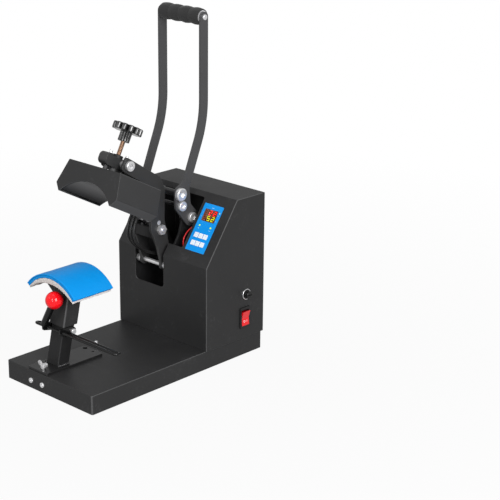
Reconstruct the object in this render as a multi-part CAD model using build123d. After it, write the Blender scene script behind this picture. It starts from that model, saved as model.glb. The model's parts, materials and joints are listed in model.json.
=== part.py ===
"""Cap heat press: curved heated platen on a toggle-closed swing arm over a padded saddle.

Millimetres, Z up, X to the right of the operator at the front, Y from front to rear.
The origin is the centre of the base's underside.  Y values below are measured from the
front edge of the base and shifted to the origin when a piece is saved.  Pieces of the
press mechanism have their X measured from its centre plane, which lies left of the base's.
Every piece is drawn in the open pose.  Angles turn about +X, positive towards closed.
"""
from build123d import *
import math
import os

# ---------------------------------------------------------------- clearances and sheet
SHEET = 1.5              # thickness of folded steel sheet
FIT = 0.1                # radial clearance of a running fit
SEAT_GAP = 0.2           # gap around a panel set into an opening
HEAD_EASE = 1.2          # rounding of a bolt head's rim
THROUGH = 4.0            # how far a cutting tool runs past a sheet
FOLD_RADIUS = 1.2        # outside radius of a sheet fold

# ---------------------------------------------------------------- base and housing
BASE_W, BASE_H = 216.5, 32.7
BASE_FLANGE = 12.0
CORNER_RADIUS = 3.0
HOUSING_FRONT, HOUSING_DEPTH = 258.5, 143.5
SIDE_OVERHANG, REAR_OVERHANG = 2.1, 2.0  # of the housing past the base
HOUSING_W = BASE_W + 2 * SIDE_OVERHANG
HOUSING_REAR = HOUSING_FRONT + HOUSING_DEPTH
BASE_L = HOUSING_REAR - REAR_OVERHANG
KNEE_Z = 183.9
SLOPE_TOP_Y, SLOPE_TOP_Z = 333.3, 290.2
HOUSING_FLANGE = 12.0
REAR_FLANGE = 10.0

MECH_X = -31.0           # centre plane of the mechanism
SLOT_HALF = 36.0         # arm slot in the front wall
SLOT_BOTTOM = 124.0
SLOT_RADIUS = 7.0
HATCH_HALF = 70.0        # wide opening in the slope, for the lever
HATCH_LOW, HATCH_HIGH = 23.4, 119.6      # along the slope from the knee
HATCH_RADIUS = 4.0
BASE_CABLE_HALF, BASE_CABLE_BACK = 25.0, 20.0   # hole for the wiring, its front behind the pivot

PANEL_SCREW_D, PANEL_SCREW_HEAD, PANEL_SCREW_T, PANEL_SCREW_L = 3.0, 6.0, 1.4, 6.0
BOTTOM_SCREW_END = 20.0  # of the flange's length, past its own width
VENT_W, VENT_L, VENT_PITCH, VENT_COUNT = 3.0, 44.0, 9.0, 8
LOUVRE_W, LOUVRE_H, LOUVRE_PITCH, LOUVRE_COUNT, LOUVRE_LOW = 90.0, 4.0, 10.0, 8, 150.0

# ---------------------------------------------------------------- controls on the slope
OVERLAY_W, OVERLAY_H, OVERLAY_T = 44.4, 88.0, 0.6
OVERLAY_X, OVERLAY_LOW = 67.5, 22.8
CASE_W, CASE_H, CASE_D = 38.0, 82.0, 22.0
DISPLAY_W, DISPLAY_H, DISPLAY_UP = 30.0, 22.4, 67.4
DISPLAY_T = 1.1
LED_D, LED_UP, LED_HALF = 3.0, 47.0, 13.0
LED_PROUD, LED_DEEP, OVERLAY_RADIUS = 0.7, 3.0, 1.5
KEY_W, KEY_H, KEY_PITCH_X = 8.4, 8.6, 10.6
KEY_ROW_LOW, KEY_ROW_PITCH = 10.4, 14.6
KEY_PROUD, KEY_DEPTH, KEY_TRAVEL, KEY_GAP = 1.2, 2.6, 0.8, 0.2

# ---------------------------------------------------------------- power fittings
FUSE_BACK, ROCKER_BACK = 45.5, 48.6      # ahead of the housing's rear edge
FUSE_Y, FUSE_Z = HOUSING_REAR - FUSE_BACK, 114.0
FUSE_RING_D, FUSE_RING_T, FUSE_BODY_D, FUSE_BODY_L = 20.0, 2.6, 13.0, 30.0
FUSE_WALL, FUSE_FLOOR, FUSE_NUT, FUSE_NUT_T = 1.5, 3.0, 18.0, 4.0
FUSE_CAP_D, FUSE_CAP_L, FUSE_CAP_PLUG = 13.6, 7.0, 16.0
FUSE_SLOT_L, FUSE_SLOT_W, FUSE_SLOT_DEEP = 10.0, 1.6, 2.0
ROCKER_Y, ROCKER_Z = HOUSING_REAR - ROCKER_BACK, 71.5
ROCKER_W, ROCKER_H, ROCKER_T, ROCKER_DEPTH, ROCKER_RIM = 25.0, 38.0, 2.4, 22.0, 2.0
ROCKER_KEY_W, ROCKER_KEY_H, ROCKER_TILT = 17.0, 27.0, 6.0
ROCKER_RISE, ROCKER_ROOT, ROCKER_ROOT_HALF, ROCKER_AXIS_IN = 2.6, 7.0, 6.0, 4.0
ROCKER_PIN_D, ROCKER_PIN_L, ROCKER_SIDE_GAP, ROCKER_END_GAP, ROCKER_FLOOR = 3.0, 1.2, 0.3, 1.0, 4.0
INLET_X, INLET_Z, INLET_W, INLET_H, INLET_D = 62.0, 70.0, 48.0, 27.0, 24.0
INLET_EAR, INLET_LIP, INLET_FLANGE_T, INLET_RADIUS = 6.0, 2.0, 2.0, 3.0
SOCKET_HALF_W, SOCKET_HALF_H, SOCKET_FLOOR = 12.0, 8.2, 5.0
SOCKET_PINS = [(-7.0, -2.0), (7.0, -2.0), (0.0, 2.5)]
PIN_HALF_W, PIN_HALF_H, PIN_ROOT, PIN_BACK = 1.0, 2.5, 1.0, 3.0
RELAY_GAP, RELAY_BACK, RELAY_L, RELAY_T = 4.2, 101.0, 58.0, 24.0
RELAY_POST_X, RELAY_POST_Y, RELAY_POST_D, RELAY_POST_H = 9.0, 8.0, 8.0, 3.0

# ---------------------------------------------------------------- frame and main pivot
PIVOT = (269.5, 161.0)   # swing arm pivot
PIVOT_D = 8.0
FRAME_IN, FRAME_T = 38.0, 4.0
FRAME_FOOT = 24.0
FULCRUM = (311.5, 245.4)                 # lever pivot
FULCRUM_D, FULCRUM_HEAD_D, FULCRUM_HEAD_T = 10.0, 18.0, 5.0
FULCRUM_SOCKET, FULCRUM_SOCKET_DEEP, FULCRUM_NUT, FULCRUM_NUT_T, FULCRUM_END = 9.0, 3.0, 17.0, 7.0, 1.0
FRAME_TIE_Y, FRAME_TIE_Z, FRAME_TIE_D, FRAME_TIE_NUT = 340.0, 92.0, 12.0, 18.0
FRAME_GAP, FRAME_FOOT_BACK, FRAME_FOOT_END = 2.0, 12.0, 18.0
FRAME_TOE_H, FRAME_TOE_RISE = 8.0, 10.0
FRAME_KNEE = [(-6.0, 8), (8.0, 10)]      # (z from the knee, radius): front edge, then a step to the rear
FRAME_STEP = -36.0                       # rear end of that step, from the fulcrum
FRAME_HEAD = [(-20, -29, 20), (-13.5, -6, 4), (-13.5, 13.5, 12), (14, 13.5, 12), (19, -30, 30)]
FRAME_BACK, FRAME_BACK_Z, FRAME_BACK_R = 22.0, 150.0, 30
PIVOT_NUT, PIVOT_NUT_T, PIVOT_END, SPACER_WALL = 13.0, 6.0, 8.0, 2.5

# ---------------------------------------------------------------- lever
LEVER_IN, LEVER_T, LEVER_W = 48.0, 4.0, 18.0
GRIP_Y, GRIP_Z = 343.0, 590.0
LEVER_BEND_Z, LEVER_SLANT, LEVER_BEND_R = 411.7, 22.3, 190.0
GRIP_TUBE_D, FOAM_D, FOAM_GROOVE = 22.0, 30.0, 1.6
FOAM_LOBES, FOAM_GAP = 4, 0.3
GRIP_BOLT_D, GRIP_BOLT_HEAD, GRIP_BOLT_PROUD, GRIP_WALL, GRIP_PLUG = 6.0, 9.5, 3.0, 2.0, 12.0
CRANK = (283.5, 292.5)
CRANK_D, CRANK_HEAD_D, CRANK_HEAD_T = 8.0, 23.0, 7.0
TIE = (287.8, 270.5)
TIE_D, TIE_HEAD_D, TIE_HEAD_T = 7.0, 18.0, 5.0
LEVER_THROW = 71.1
LEVER_FLARE, LEVER_WAIST = 19.0, 7.0     # above the crank, where the bar widens to its plate
PLATE_FRONT = 10.0                       # of the plate ahead of the crank
PLATE_LOW = [(-8, -15, 12), (10, -15, 11), (15, 6, 10)]  # corners about the fulcrum
PLATE_BACK = (22, -1, 10)                # corner about the tie
CRANK_SOCKET, TIE_SOCKET, COLLAR_WALL = 10.0, 8.0, 2.0

# ---------------------------------------------------------------- toggle link
TOGGLE_PIN = (257.3, 241.4)
TOGGLE_PIN_D, LINK_IN, LINK_T, LINK_WALL = 8.0, 5.0, 6.0, 3.5
LINK_TURN = -39.0        # turn of the link in space while the lever closes
SLOT_PLAY, LINK_STEPS = 0.6, 5
LINK_BLOCK_D, LINK_BLOCK_SHARE = 9.0, 0.38   # block between the blades, along them from the crank

# ---------------------------------------------------------------- swing arm
ARM_IN, ARM_T = 22.0, 5.0
ARM_SWING = 43.5
ARM_TILT = 33.0          # downward slope of the open arm
ARM_ABOVE, ARM_BELOW, ARM_AHEAD = 11.0, 13.0, 13.0
ARM_TOP_LENGTH = 91.3
ARM_CROOK = 69.0         # along the arm from the yoke, where the underside turns down
LEG_EYE_R, LEG_EYE_RISE = 8.5, 8.0
LEG_FRONT = [(-31, 71, 14), (-14.5, 33, 60)]             # corners about the pivot
LEG_REAR = [(11, 37, 20), (1, 84, 40), (3, 138, 14)]
WEB_T, WEB_BEND = 2.0, 0.6
WEB_AHEAD, WEB_FOOT_AHEAD, WEB_UP, WEB_DOWN = 21.0, 14.0, 7.0, 15.0   # about the leg bolt
EAR_REAR, EAR_TOP_REAR, EAR_CHEEK, EAR_LOW = 6.0, -4.0, 4.0, -8.0
LEG_BOLT = (261.0, 228.5)
LEG_BOLT_D, LEG_NUT_D, LEG_NUT_T, LEG_BOLT_END, PIN_COLLAR_WALL = 6.0, 16.0, 6.0, 2.5, 1.5

# ---------------------------------------------------------------- head, drawn closed and level
YOKE = (78.0, 247.8)     # closed place of the yoke pivot
YOKE_TILT = 15.5         # the head levels itself by this much while closing
YOKE_SCREW_D, YOKE_HEAD_D, YOKE_HEAD_T, YOKE_SOCKET, YOKE_SOCKET_FLOOR = 8.0, 18.0, 5.0, 8.0, 2.0
YOKE_SHOULDER, YOKE_END_GAP = 2.0, 1.5
COVER_AHEAD = 48.6       # cover's front edge ahead of the yoke pivot
COVER_L = 101.4
COVER_BELOW = 19.6       # cover's top below the yoke pivot
COVER_TOP_HALF, COVER_WIDE_HALF, COVER_LOW_HALF = 63.8, 75.7, 64.3
COVER_WIDE_DOWN, COVER_H = 43.6, 56.4
ARCH_R, ARCH_DOWN = 84.4, 112.7
PLATEN_R, PLATEN_T, PLATEN_HALF_ANGLE = 84.0, 9.0, 44.0
PLATEN_END_GAP = 0.5
STANDOFF_D, STANDOFF_X, STANDOFF_INSET, STANDOFF_ROOT = 9.0, 34.0, 18.0, 2.0
BEAM_W, BEAM_FRONT, BEAM_REAR = 20.0, 10.0, 70.0
BEAM_LOW, BEAM_HIGH, BEAM_LUG, BEAM_LUG_END, BEAM_NOSE = 9.0, 27.0, 31.0, 20.0, 8.5
SCREW_BACK, SCREW_D, SCREW_TOP, SCREW_COLLAR_D = 42.5, 8.0, 76.0, 16.0
SCREW_FLANGE_D, SCREW_FLANGE_T = 14.0, 3.0
NUT_D, NUT_T = 18.0, 5.0
STUD_BACK, STUD_D, STUD_TOP, STUD_BOSS_D, STUD_HEAD_T = 24.0, 5.0, 36.0, 9.0, 3.0
REAR_STUD_BACK = 63.0
KNOB_D, KNOB_T, KNOB_LOBES, KNOB_FLUTE_D = 54.0, 12.0, 12, 9.0
KNOB_LOW, HUB_D, HUB_H, KNOB_EASE, KNOB_FLUTE_OUT = 73.0, 21.0, 17.0, 1.5, 0.9

# ---------------------------------------------------------------- pad, post and foot
PAD_AXIS_Z = YOKE[1] - COVER_BELOW - ARCH_DOWN
PAD_FRONT, PAD_L = 35.0, 85.0
PAD_R, SILICONE_T, PAD_HALF_ANGLE = 79.5, 7.0, 50.0
CORE_CROWN, CORE_EDGE_R = 9.0, 86.8
FOOT_W, FOOT_FRONT, FOOT_L, FOOT_T = 49.0, 2.0, 123.0, 4.0
FOOT_CORNER = 3.0
FOOT_HOLE, FOOT_HOLE_D = (-14.8, 118.7), 9.0
FOOT_PIN_HOLE, FOOT_PIN_HOLE_D = (6.7, 118.1), 5.0
CHANNEL_W, CHANNEL_T, CHANNEL_REAR = 56.0, 3.0, 160.0
WING_Y, WING_D, WING_SPAN, WING_H, WING_T = 14.0, 6.0, 23.0, 11.0, 2.8
WING_HUB_D, WING_HUB_H, WING_BELOW, WING_TIP_W, WING_ROOT_Z, WING_CROTCH_Z = 9.0, 6.0, 6.0, 5.5, 4.5, 5.5
BASE_STUD = (-19.0, 148.0)
BASE_STUD_D, BASE_STUD_HEAD, BASE_STUD_PROUD = 5.0, 6.0, 7.0
FRONT_SCREW_HALF, FRONT_SCREW_Z = 14.5, 14.3
FRONT_SCREW_D, FRONT_SCREW_HEAD, FRONT_SCREW_PROUD, FRONT_SOCKET_D, FRONT_SOCKET_DEEP = 3.96, 9.0, 2.6, 3.4, 1.4
POST_W, POST_DEPTH, POST_WALL, POST_LEAN = 30.0, 24.0, 2.5, 12.5
POST_FRONT, POST_TOP, POST_RADIUS, POST_BORE_RADIUS = 33.5, 150.0, 2.0, 1.0
WELD_H, WELD_REACH = 2.5, 2.5
BRACKET_WALL, BRACKET_SIDE_WALL, BRACKET_LOW, BRACKET_RADIUS = 3.0, 4.0, 104.0, 2.5
RIB_T, RIB_BACK, RIB_HALF, RIB_TIP_DOWN, RIB_TIP_H, RIB_ROOT = 4.0, 4.0, 48.0, 22.0, 4.0, 22.0

# ---------------------------------------------------------------- cap clamp
CLAMP_PIVOT = (62.0, 95.0)
CLAMP_BOLT_D, CLAMP_HEAD_D, CLAMP_HEAD_T = 6.0, 10.0, 4.0
CLAMP_ARM_IN, CLAMP_ARM_T = 19.0, 3.0
ARM_TOE_RIGHT, ARM_TOE_LEFT = 5.0, 7.0   # of each arm ahead of the bail's front run
CLAMP_EYE, CLAMP_NECK = 7.0, 6.0
BAIL_D, BAIL_Z, BAIL_FRONT, BAIL_BACK = 5.0, 98.0, 39.5, 52.0
BAIL_BACK_Z = 94.5        # the loop dips to its rear run
BAIL_LEFT, BAIL_RIGHT = -51.0, 155.0
ROD_D, BALL_D = 12.0, 30.0
ROD_FOOT = (-21.0, 36.0, 102.5)
BALL_AT = (5.0, 38.7, 151.6)
SPRING_D, SPRING_WIRE, SPRING_TURNS, SPRING_OVERLAP = 11.0, 1.4, 4, 0.96
SPRING_ARM_GAP, SPRING_SPARE = 0.5, 1.0
UPPER_LEG, LOWER_LEG = (-8.0, 4.6), -2.0   # leg ends from the bail: ahead and above; ahead

# ---------------------------------------------------------------- leads
LEAD_D, LEAD_PITCH, LEAD_COUNT = 5.0, 8.0, 3
LEAD_X = -4.0
LEAD_ENTRY = (272.0, 176.5)
LEAD_WALL_GAP, LEAD_STRAIGHT = 0.3, 13.0
LEAD_EXIT_DOWN = 14.0     # leads leave the cover's rear wall this far below its top
LEAD_BOW = [(239.8, 281.7), (235, 262), (222, 243), (217.5, 222), (228.5, 201.5), (253.2, 183.55)]
INNER_LEAD_ROUTE = [LEAD_ENTRY, (290, 169.75), (303, 152), (306, 124), (308, 98), (312, 84)]
TANGENT_SHARE = 0.45      # of the shorter run beside a bend, taken up by its arc
SIGNAL_WIRE_D, SIGNAL_GAP, SIGNAL_EDGE = 2.0, 0.3, 0.6
SIGNAL_ROUTE = [(0, 4), (-6, 12), (-7, 24), (-3, 35), (3, 43)]

os.makedirs("parts", exist_ok=True)


# ================================================================ helpers
def box(x0, x1, y0, y1, z0, z1):
    return Pos((x0 + x1) / 2, (y0 + y1) / 2, (z0 + z1) / 2) * Box(x1 - x0, y1 - y0, z1 - z0)


def rod_x(x0, x1, at, diameter):
    return Pos((x0 + x1) / 2, at[0], at[1]) * Rot(0, 90, 0) * Cylinder(diameter / 2, x1 - x0)


def rod_y(x, y0, y1, z, diameter):
    return Pos(x, (y0 + y1) / 2, z) * Rot(90, 0, 0) * Cylinder(diameter / 2, y1 - y0)


def rod_z(x, y, z0, z1, diameter):
    return Pos(x, y, (z0 + z1) / 2) * Cylinder(diameter / 2, z1 - z0)


def tube_x(x0, x1, at, outer, inner):
    return rod_x(x0, x1, at, outer) - rod_x(x0, x1, at, inner)


def hexagon_x(x0, x1, at, flats):
    face = Plane(origin=(x0, at[0], at[1]), x_dir=(0, 1, 0), z_dir=(1, 0, 0))
    return extrude(face * RegularPolygon(flats / math.sqrt(3), 6), amount=x1 - x0)


def side_plane(x):
    """Plane at x that shows Y to the right and Z up."""
    return Plane(origin=(x, 0, 0), x_dir=(0, 1, 0), z_dir=(1, 0, 0))


def outline(corners):
    """Closed face through (u, v, radius) corners."""
    points = [(u, v) for u, v, _ in corners]
    return make_face(FilletPolyline(*points, radius=[r for _, _, r in corners], close=True))


def side_plate(corners, x0, x1):
    return extrude(side_plane(x0) * outline(corners), amount=x1 - x0)


def pair(shape):
    """The shape and its mirror image in the mechanism's centre plane."""
    return shape + mirror(shape, about=Plane.YZ)


def turned(shape, centre, degrees):
    y, z = centre
    return Pos(0, y, z) * Rot(degrees, 0, 0) * Pos(0, -y, -z) * shape


def turned_point(point, centre, degrees):
    c, s = math.cos(math.radians(degrees)), math.sin(math.radians(degrees))
    y, z = point[0] - centre[0], point[1] - centre[1]
    return centre[0] + c * y - s * z, centre[1] + s * y + c * z


def along(point, degrees, forward, up):
    """Point moved `forward` down a line that falls by `degrees` to the rear, and `up` from it."""
    c, s = math.cos(math.radians(degrees)), math.sin(math.radians(degrees))
    return point[0] + c * forward + s * up, point[1] - s * forward + c * up


def bent_wire(points, radii, diameter):
    path = FilletPolyline(*points, radius=radii)
    start = Plane(origin=path @ 0, z_dir=path % 0)
    return sweep(start * Circle(diameter / 2), path=path)


def save(name, shape, mech=False):
    shift = Pos(MECH_X if mech else 0, -BASE_L / 2, 0)
    export_step(shift * shape, f"parts/{name}.step")


# ================================================================ places worked out once
BASE_TOP = BASE_H
SLOPE_LENGTH = math.hypot(SLOPE_TOP_Y - HOUSING_FRONT, SLOPE_TOP_Z - KNEE_Z)
SLOPE_SIN = (SLOPE_TOP_Z - KNEE_Z) / SLOPE_LENGTH
SLOPE_COS = (SLOPE_TOP_Y - HOUSING_FRONT) / SLOPE_LENGTH
SLOPE = Plane(origin=(0, HOUSING_FRONT, KNEE_Z), x_dir=(1, 0, 0), z_dir=(0, -SLOPE_SIN, SLOPE_COS))
SIDE = HOUSING_W / 2
LEVER_OUT = LEVER_IN + LEVER_T
ARM_OUT = ARM_IN + ARM_T
FRAME_OUT = FRAME_IN + FRAME_T
YOKE_OPEN = turned_point(YOKE, PIVOT, -ARM_SWING)
COVER_FRONT = YOKE[0] - COVER_AHEAD
COVER_TOP = YOKE[1] - COVER_BELOW
POST_SIN, POST_COS = math.sin(math.radians(POST_LEAN)), math.cos(math.radians(POST_LEAN))
FOOT_TOP = BASE_TOP + FOOT_T
CORE_R = PAD_R - SILICONE_T
CORE_DROP = CORE_EDGE_R - (CORE_R - CORE_CROWN)
ROCKER_AXIS_X = SIDE - ROCKER_AXIS_IN
RELAY_LEFT = MECH_X + FRAME_OUT + FRAME_FOOT + RELAY_GAP
RELAY_RIGHT = SIDE - ROCKER_DEPTH - RELAY_GAP
RELAY_FRONT = HOUSING_REAR - RELAY_BACK
LOW_FLANGE_Z, HIGH_FLANGE_Z = BASE_TOP + SHEET + REAR_FLANGE / 2, SLOPE_TOP_Z - SHEET - REAR_FLANGE / 2
REAR_SCREWS = [(side * (SIDE - SHEET - REAR_FLANGE / 2), z)
               for side in (-1, 1) for z in (LOW_FLANGE_Z, HIGH_FLANGE_Z)]
SCREW_EDGE = SHEET + BASE_FLANGE / 2
BOTTOM_SCREWS = [(side * (BASE_W / 2 - SCREW_EDGE), y)
                 for side in (-1, 1)
                 for y in (SCREW_EDGE + BOTTOM_SCREW_END, BASE_L - SCREW_EDGE - BOTTOM_SCREW_END)]


def on_slope(shape):
    return SLOPE * shape


def head_open(shape):
    """Turns a piece of the head from its closed, level place to the open pose."""
    return turned(turned(shape, YOKE, YOKE_TILT), PIVOT, -ARM_SWING)


def post_front_at(z):
    return POST_FRONT + (z - FOOT_TOP) * POST_SIN / POST_COS


# ================================================================ base
def base_pan():
    pan = box(-BASE_W / 2, BASE_W / 2, 0, BASE_L, 0, BASE_H)
    pan = fillet(pan.edges().filter_by(Axis.Z), CORNER_RADIUS)
    pan = fillet(pan.faces().sort_by(Axis.Z)[-1].edges(), FOLD_RADIUS)
    half = BASE_W / 2 - SHEET
    pan -= box(-half, half, SHEET, BASE_L - SHEET, 2 * SHEET, BASE_H - SHEET)
    pan -= box(-half, half, SHEET, BASE_L - SHEET, 0, SHEET)
    half -= BASE_FLANGE
    inner = SHEET + BASE_FLANGE
    pan -= box(-half, half, inner, BASE_L - inner, SHEET, 2 * SHEET)
    for x in (-FRONT_SCREW_HALF, FRONT_SCREW_HALF):
        pan -= rod_y(MECH_X + x, -1, SHEET + 1, FRONT_SCREW_Z, FRONT_SCREW_D + 2 * FIT)
    pan -= rod_z(MECH_X, WING_Y, BASE_H - SHEET, BASE_H, WING_D + 2 * FIT)
    pan -= rod_z(MECH_X + BASE_STUD[0], BASE_STUD[1], BASE_H - SHEET, BASE_H, BASE_STUD_D + 2 * FIT)
    pan -= box(MECH_X - BASE_CABLE_HALF, MECH_X + BASE_CABLE_HALF, PIVOT[0] + BASE_CABLE_BACK, FRAME_TIE_Y,
               BASE_H - SHEET, BASE_H)
    for x, y in BOTTOM_SCREWS:
        pan -= rod_z(x, y, SHEET, 2 * SHEET, PANEL_SCREW_D + 2 * FIT)
    return pan


def bottom_plate():
    half = BASE_W / 2 - SHEET - SEAT_GAP
    edge = SHEET + SEAT_GAP
    plate = box(-half, half, edge, BASE_L - edge, 0, SHEET)
    for n in range(VENT_COUNT):
        y = BASE_L / 2 + (n - (VENT_COUNT - 1) / 2) * VENT_PITCH
        plate -= box(-VENT_L / 2, VENT_L / 2, y - VENT_W / 2, y + VENT_W / 2, 0, SHEET)
    for x, y in BOTTOM_SCREWS:
        plate -= rod_z(x, y, 0, SHEET, PANEL_SCREW_HEAD + 2 * FIT)
    return plate


def stand_channel():
    """Stiffener under the base top that takes the thumb bolt, the stud and the front screws."""
    top = BASE_H - SHEET
    half = CHANNEL_W / 2
    front = SHEET
    rail = box(-half, half, front, CHANNEL_REAR, top - CHANNEL_T, top)
    rail += box(-half, half, front, front + CHANNEL_T, 2 * SHEET + 1, top)
    for x in (-FRONT_SCREW_HALF, FRONT_SCREW_HALF):
        rail -= rod_y(x, front, front + CHANNEL_T, FRONT_SCREW_Z, FRONT_SCREW_D)
    rail -= rod_z(0, WING_Y, top - CHANNEL_T, top, WING_D + 2 * FIT)
    rail -= rod_z(*BASE_STUD, top - CHANNEL_T, top, BASE_STUD_D)
    return rail


def base_fasteners():
    """Two front screws and the tall-headed stud behind the foot plate."""
    screws = []
    for x in (-FRONT_SCREW_HALF, FRONT_SCREW_HALF):
        head = rod_y(x, -FRONT_SCREW_PROUD, 0, FRONT_SCREW_Z, FRONT_SCREW_HEAD)
        head = fillet(head.edges().sort_by(Axis.Y)[0], HEAD_EASE)
        bottom = FRONT_SOCKET_DEEP - FRONT_SCREW_PROUD
        head -= rod_y(x, -FRONT_SCREW_PROUD, bottom, FRONT_SCREW_Z, FRONT_SOCKET_D)
        screws.append(head + rod_y(x, 0, SHEET + CHANNEL_T, FRONT_SCREW_Z, FRONT_SCREW_D))
    x, y = BASE_STUD
    stud = rod_z(x, y, BASE_TOP - SHEET - CHANNEL_T, BASE_TOP, BASE_STUD_D)
    stud += rod_z(x, y, BASE_TOP, BASE_TOP + BASE_STUD_PROUD, BASE_STUD_HEAD)
    stud = fillet(stud.edges().sort_by(Axis.Z)[-1], 1.0)
    return Compound([*screws, stud])


# ================================================================ housing
def housing_profile(inset, rear):
    corners = [
        (HOUSING_FRONT, BASE_TOP), (HOUSING_FRONT, KNEE_Z), (SLOPE_TOP_Y, SLOPE_TOP_Z),
        (HOUSING_REAR, SLOPE_TOP_Z), (HOUSING_REAR, BASE_TOP),
    ]
    face = make_face(Polyline(*corners, close=True))
    if inset:
        face = offset(face, amount=-inset, kind=Kind.INTERSECTION)
        face += Pos((HOUSING_REAR - inset + rear) / 2, (BASE_TOP + SLOPE_TOP_Z) / 2) * Rectangle(
            rear - HOUSING_REAR + inset + 2, SLOPE_TOP_Z - BASE_TOP - 2 * inset)
    return face


def housing_shell():
    shell = extrude(side_plane(-SIDE) * housing_profile(0, HOUSING_REAR), amount=HOUSING_W)
    folds = [e for e in shell.edges() if e.center().Z > BASE_TOP + 1 and e.center().Y < HOUSING_REAR - 1]
    shell = fillet(folds, FOLD_RADIUS)
    inner_w = HOUSING_W - 2 * SHEET
    shell -= extrude(side_plane(-inner_w / 2) * housing_profile(SHEET, HOUSING_REAR), amount=inner_w)
    half = SIDE - HOUSING_FLANGE
    shell -= box(-half, half, HOUSING_FRONT + HOUSING_FLANGE, HOUSING_REAR, BASE_TOP, BASE_TOP + SHEET)
    shell += rear_flange()
    top = SLOPE_TOP_Z
    slot = Pos(MECH_X, (SLOT_BOTTOM + top) / 2) * RectangleRounded(
        2 * SLOT_HALF, top - SLOT_BOTTOM, SLOT_RADIUS)
    front = Plane(origin=(0, HOUSING_FRONT, 0), x_dir=(1, 0, 0), z_dir=(0, -1, 0))
    wall_cut = extrude(front * slot, amount=THROUGH, both=True)
    shell -= wall_cut
    neck = Pos(MECH_X, 0) * Rectangle(2 * SLOT_HALF, 2 * HATCH_LOW + 2)
    hatch = Pos(MECH_X, (HATCH_LOW + HATCH_HIGH) / 2) * RectangleRounded(
        2 * HATCH_HALF, HATCH_HIGH - HATCH_LOW, HATCH_RADIUS)
    shell -= extrude(on_slope(hatch), amount=THROUGH, both=True)
    shell -= extrude(on_slope(neck), amount=THROUGH, both=True)
    window = Pos(OVERLAY_X, OVERLAY_LOW + OVERLAY_H / 2) * Rectangle(
        CASE_W + 2 * SEAT_GAP, CASE_H + 2 * SEAT_GAP)
    shell -= extrude(on_slope(window), amount=THROUGH, both=True)
    shell -= rod_x(SIDE - THROUGH, SIDE + THROUGH, (FUSE_Y, FUSE_Z), FUSE_BODY_D + 2 * FIT)
    half_w, half_h = ROCKER_W / 2 - ROCKER_RIM, ROCKER_H / 2 - ROCKER_RIM
    shell -= box(SIDE - THROUGH, SIDE + THROUGH, ROCKER_Y - half_w, ROCKER_Y + half_w,
                 ROCKER_Z - half_h, ROCKER_Z + half_h)
    return shell


def rear_flange():
    """Inward lip that the rear panel seats against, one sheet inside the rear edge."""
    y = HOUSING_REAR - 2 * SHEET
    half = SIDE - SHEET
    low, high = BASE_TOP + SHEET, SLOPE_TOP_Z - SHEET
    lip = box(-half, half, y, y + SHEET, low, high)
    lip -= box(-half + REAR_FLANGE, half - REAR_FLANGE, y, y + SHEET, low + REAR_FLANGE, high - REAR_FLANGE)
    for x, z in REAR_SCREWS:
        lip -= rod_y(x, y, y + SHEET, z, PANEL_SCREW_D + 2 * FIT)
    return lip


def rear_panel():
    half = SIDE - SHEET - SEAT_GAP
    low, high = BASE_TOP + SHEET + SEAT_GAP, SLOPE_TOP_Z - SHEET - SEAT_GAP
    y = HOUSING_REAR - SHEET
    panel = box(-half, half, y, HOUSING_REAR, low, high)
    for n in range(LOUVRE_COUNT):
        z = LOUVRE_LOW + n * LOUVRE_PITCH
        panel -= box(-LOUVRE_W / 2, LOUVRE_W / 2, y, HOUSING_REAR, z, z + LOUVRE_H)
    half_w, half_h = INLET_W / 2 - INLET_EAR, INLET_H / 2 - INLET_LIP
    panel -= box(INLET_X - half_w, INLET_X + half_w, y, HOUSING_REAR, INLET_Z - half_h, INLET_Z + half_h)
    for x, z in REAR_SCREWS:
        panel -= rod_y(x, y, HOUSING_REAR, z, PANEL_SCREW_D + 2 * FIT)
    return panel


def panel_screws():
    screws = []
    for x, z in REAR_SCREWS:
        head = rod_y(x, HOUSING_REAR, HOUSING_REAR + PANEL_SCREW_T, z, PANEL_SCREW_HEAD)
        shank = rod_y(x, HOUSING_REAR - PANEL_SCREW_L, HOUSING_REAR, z, PANEL_SCREW_D)
        screws.append(head + shank)
    for x, y in BOTTOM_SCREWS:
        head = rod_z(x, y, SHEET - PANEL_SCREW_T, SHEET, PANEL_SCREW_HEAD)
        screws.append(head + rod_z(x, y, SHEET, SHEET + PANEL_SCREW_L, PANEL_SCREW_D))
    return Compound(screws)


# ================================================================ frame
def frame_plate():
    """Upright cheek of the inner frame on the right; the left one is its mirror image."""
    front = HOUSING_FRONT + SHEET + FRAME_GAP
    floor = BASE_TOP
    toe = HOUSING_FRONT + HOUSING_FLANGE + SEAT_GAP
    (low, low_r), (high, high_r) = FRAME_KNEE
    y, z = FULCRUM
    rear = FRAME_TIE_Y + FRAME_BACK
    corners = [
        (toe, floor, 1), (toe, floor + FRAME_TOE_H, 3), (front, floor + FRAME_TOE_H + FRAME_TOE_RISE, 8),
        (front, KNEE_Z + low, low_r), (y + FRAME_STEP, KNEE_Z + high, high_r),
        *[(y + dy, z + dz, radius) for dy, dz, radius in FRAME_HEAD],
        (rear, FRAME_BACK_Z, FRAME_BACK_R), (rear, floor, 1),
    ]
    plate = side_plate(corners, FRAME_IN, FRAME_OUT)
    foot = box(FRAME_OUT, FRAME_OUT + FRAME_FOOT, front + FRAME_FOOT_BACK, FRAME_TIE_Y + FRAME_FOOT_END,
               floor, floor + FRAME_T)
    plate += foot
    plate -= rod_x(FRAME_IN, FRAME_OUT, PIVOT, PIVOT_D)
    plate -= rod_x(FRAME_IN, FRAME_OUT, FULCRUM, FULCRUM_D)
    plate -= rod_x(FRAME_IN, FRAME_OUT, (FRAME_TIE_Y, FRAME_TIE_Z), FRAME_TIE_D)
    return plate


def frame_tie():
    at = (FRAME_TIE_Y, FRAME_TIE_Z)
    bar = rod_x(-FRAME_OUT, FRAME_OUT, at, FRAME_TIE_D)
    bar += pair(hexagon_x(FRAME_OUT, FRAME_OUT + PIVOT_NUT_T, at, FRAME_TIE_NUT))
    return bar


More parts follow.
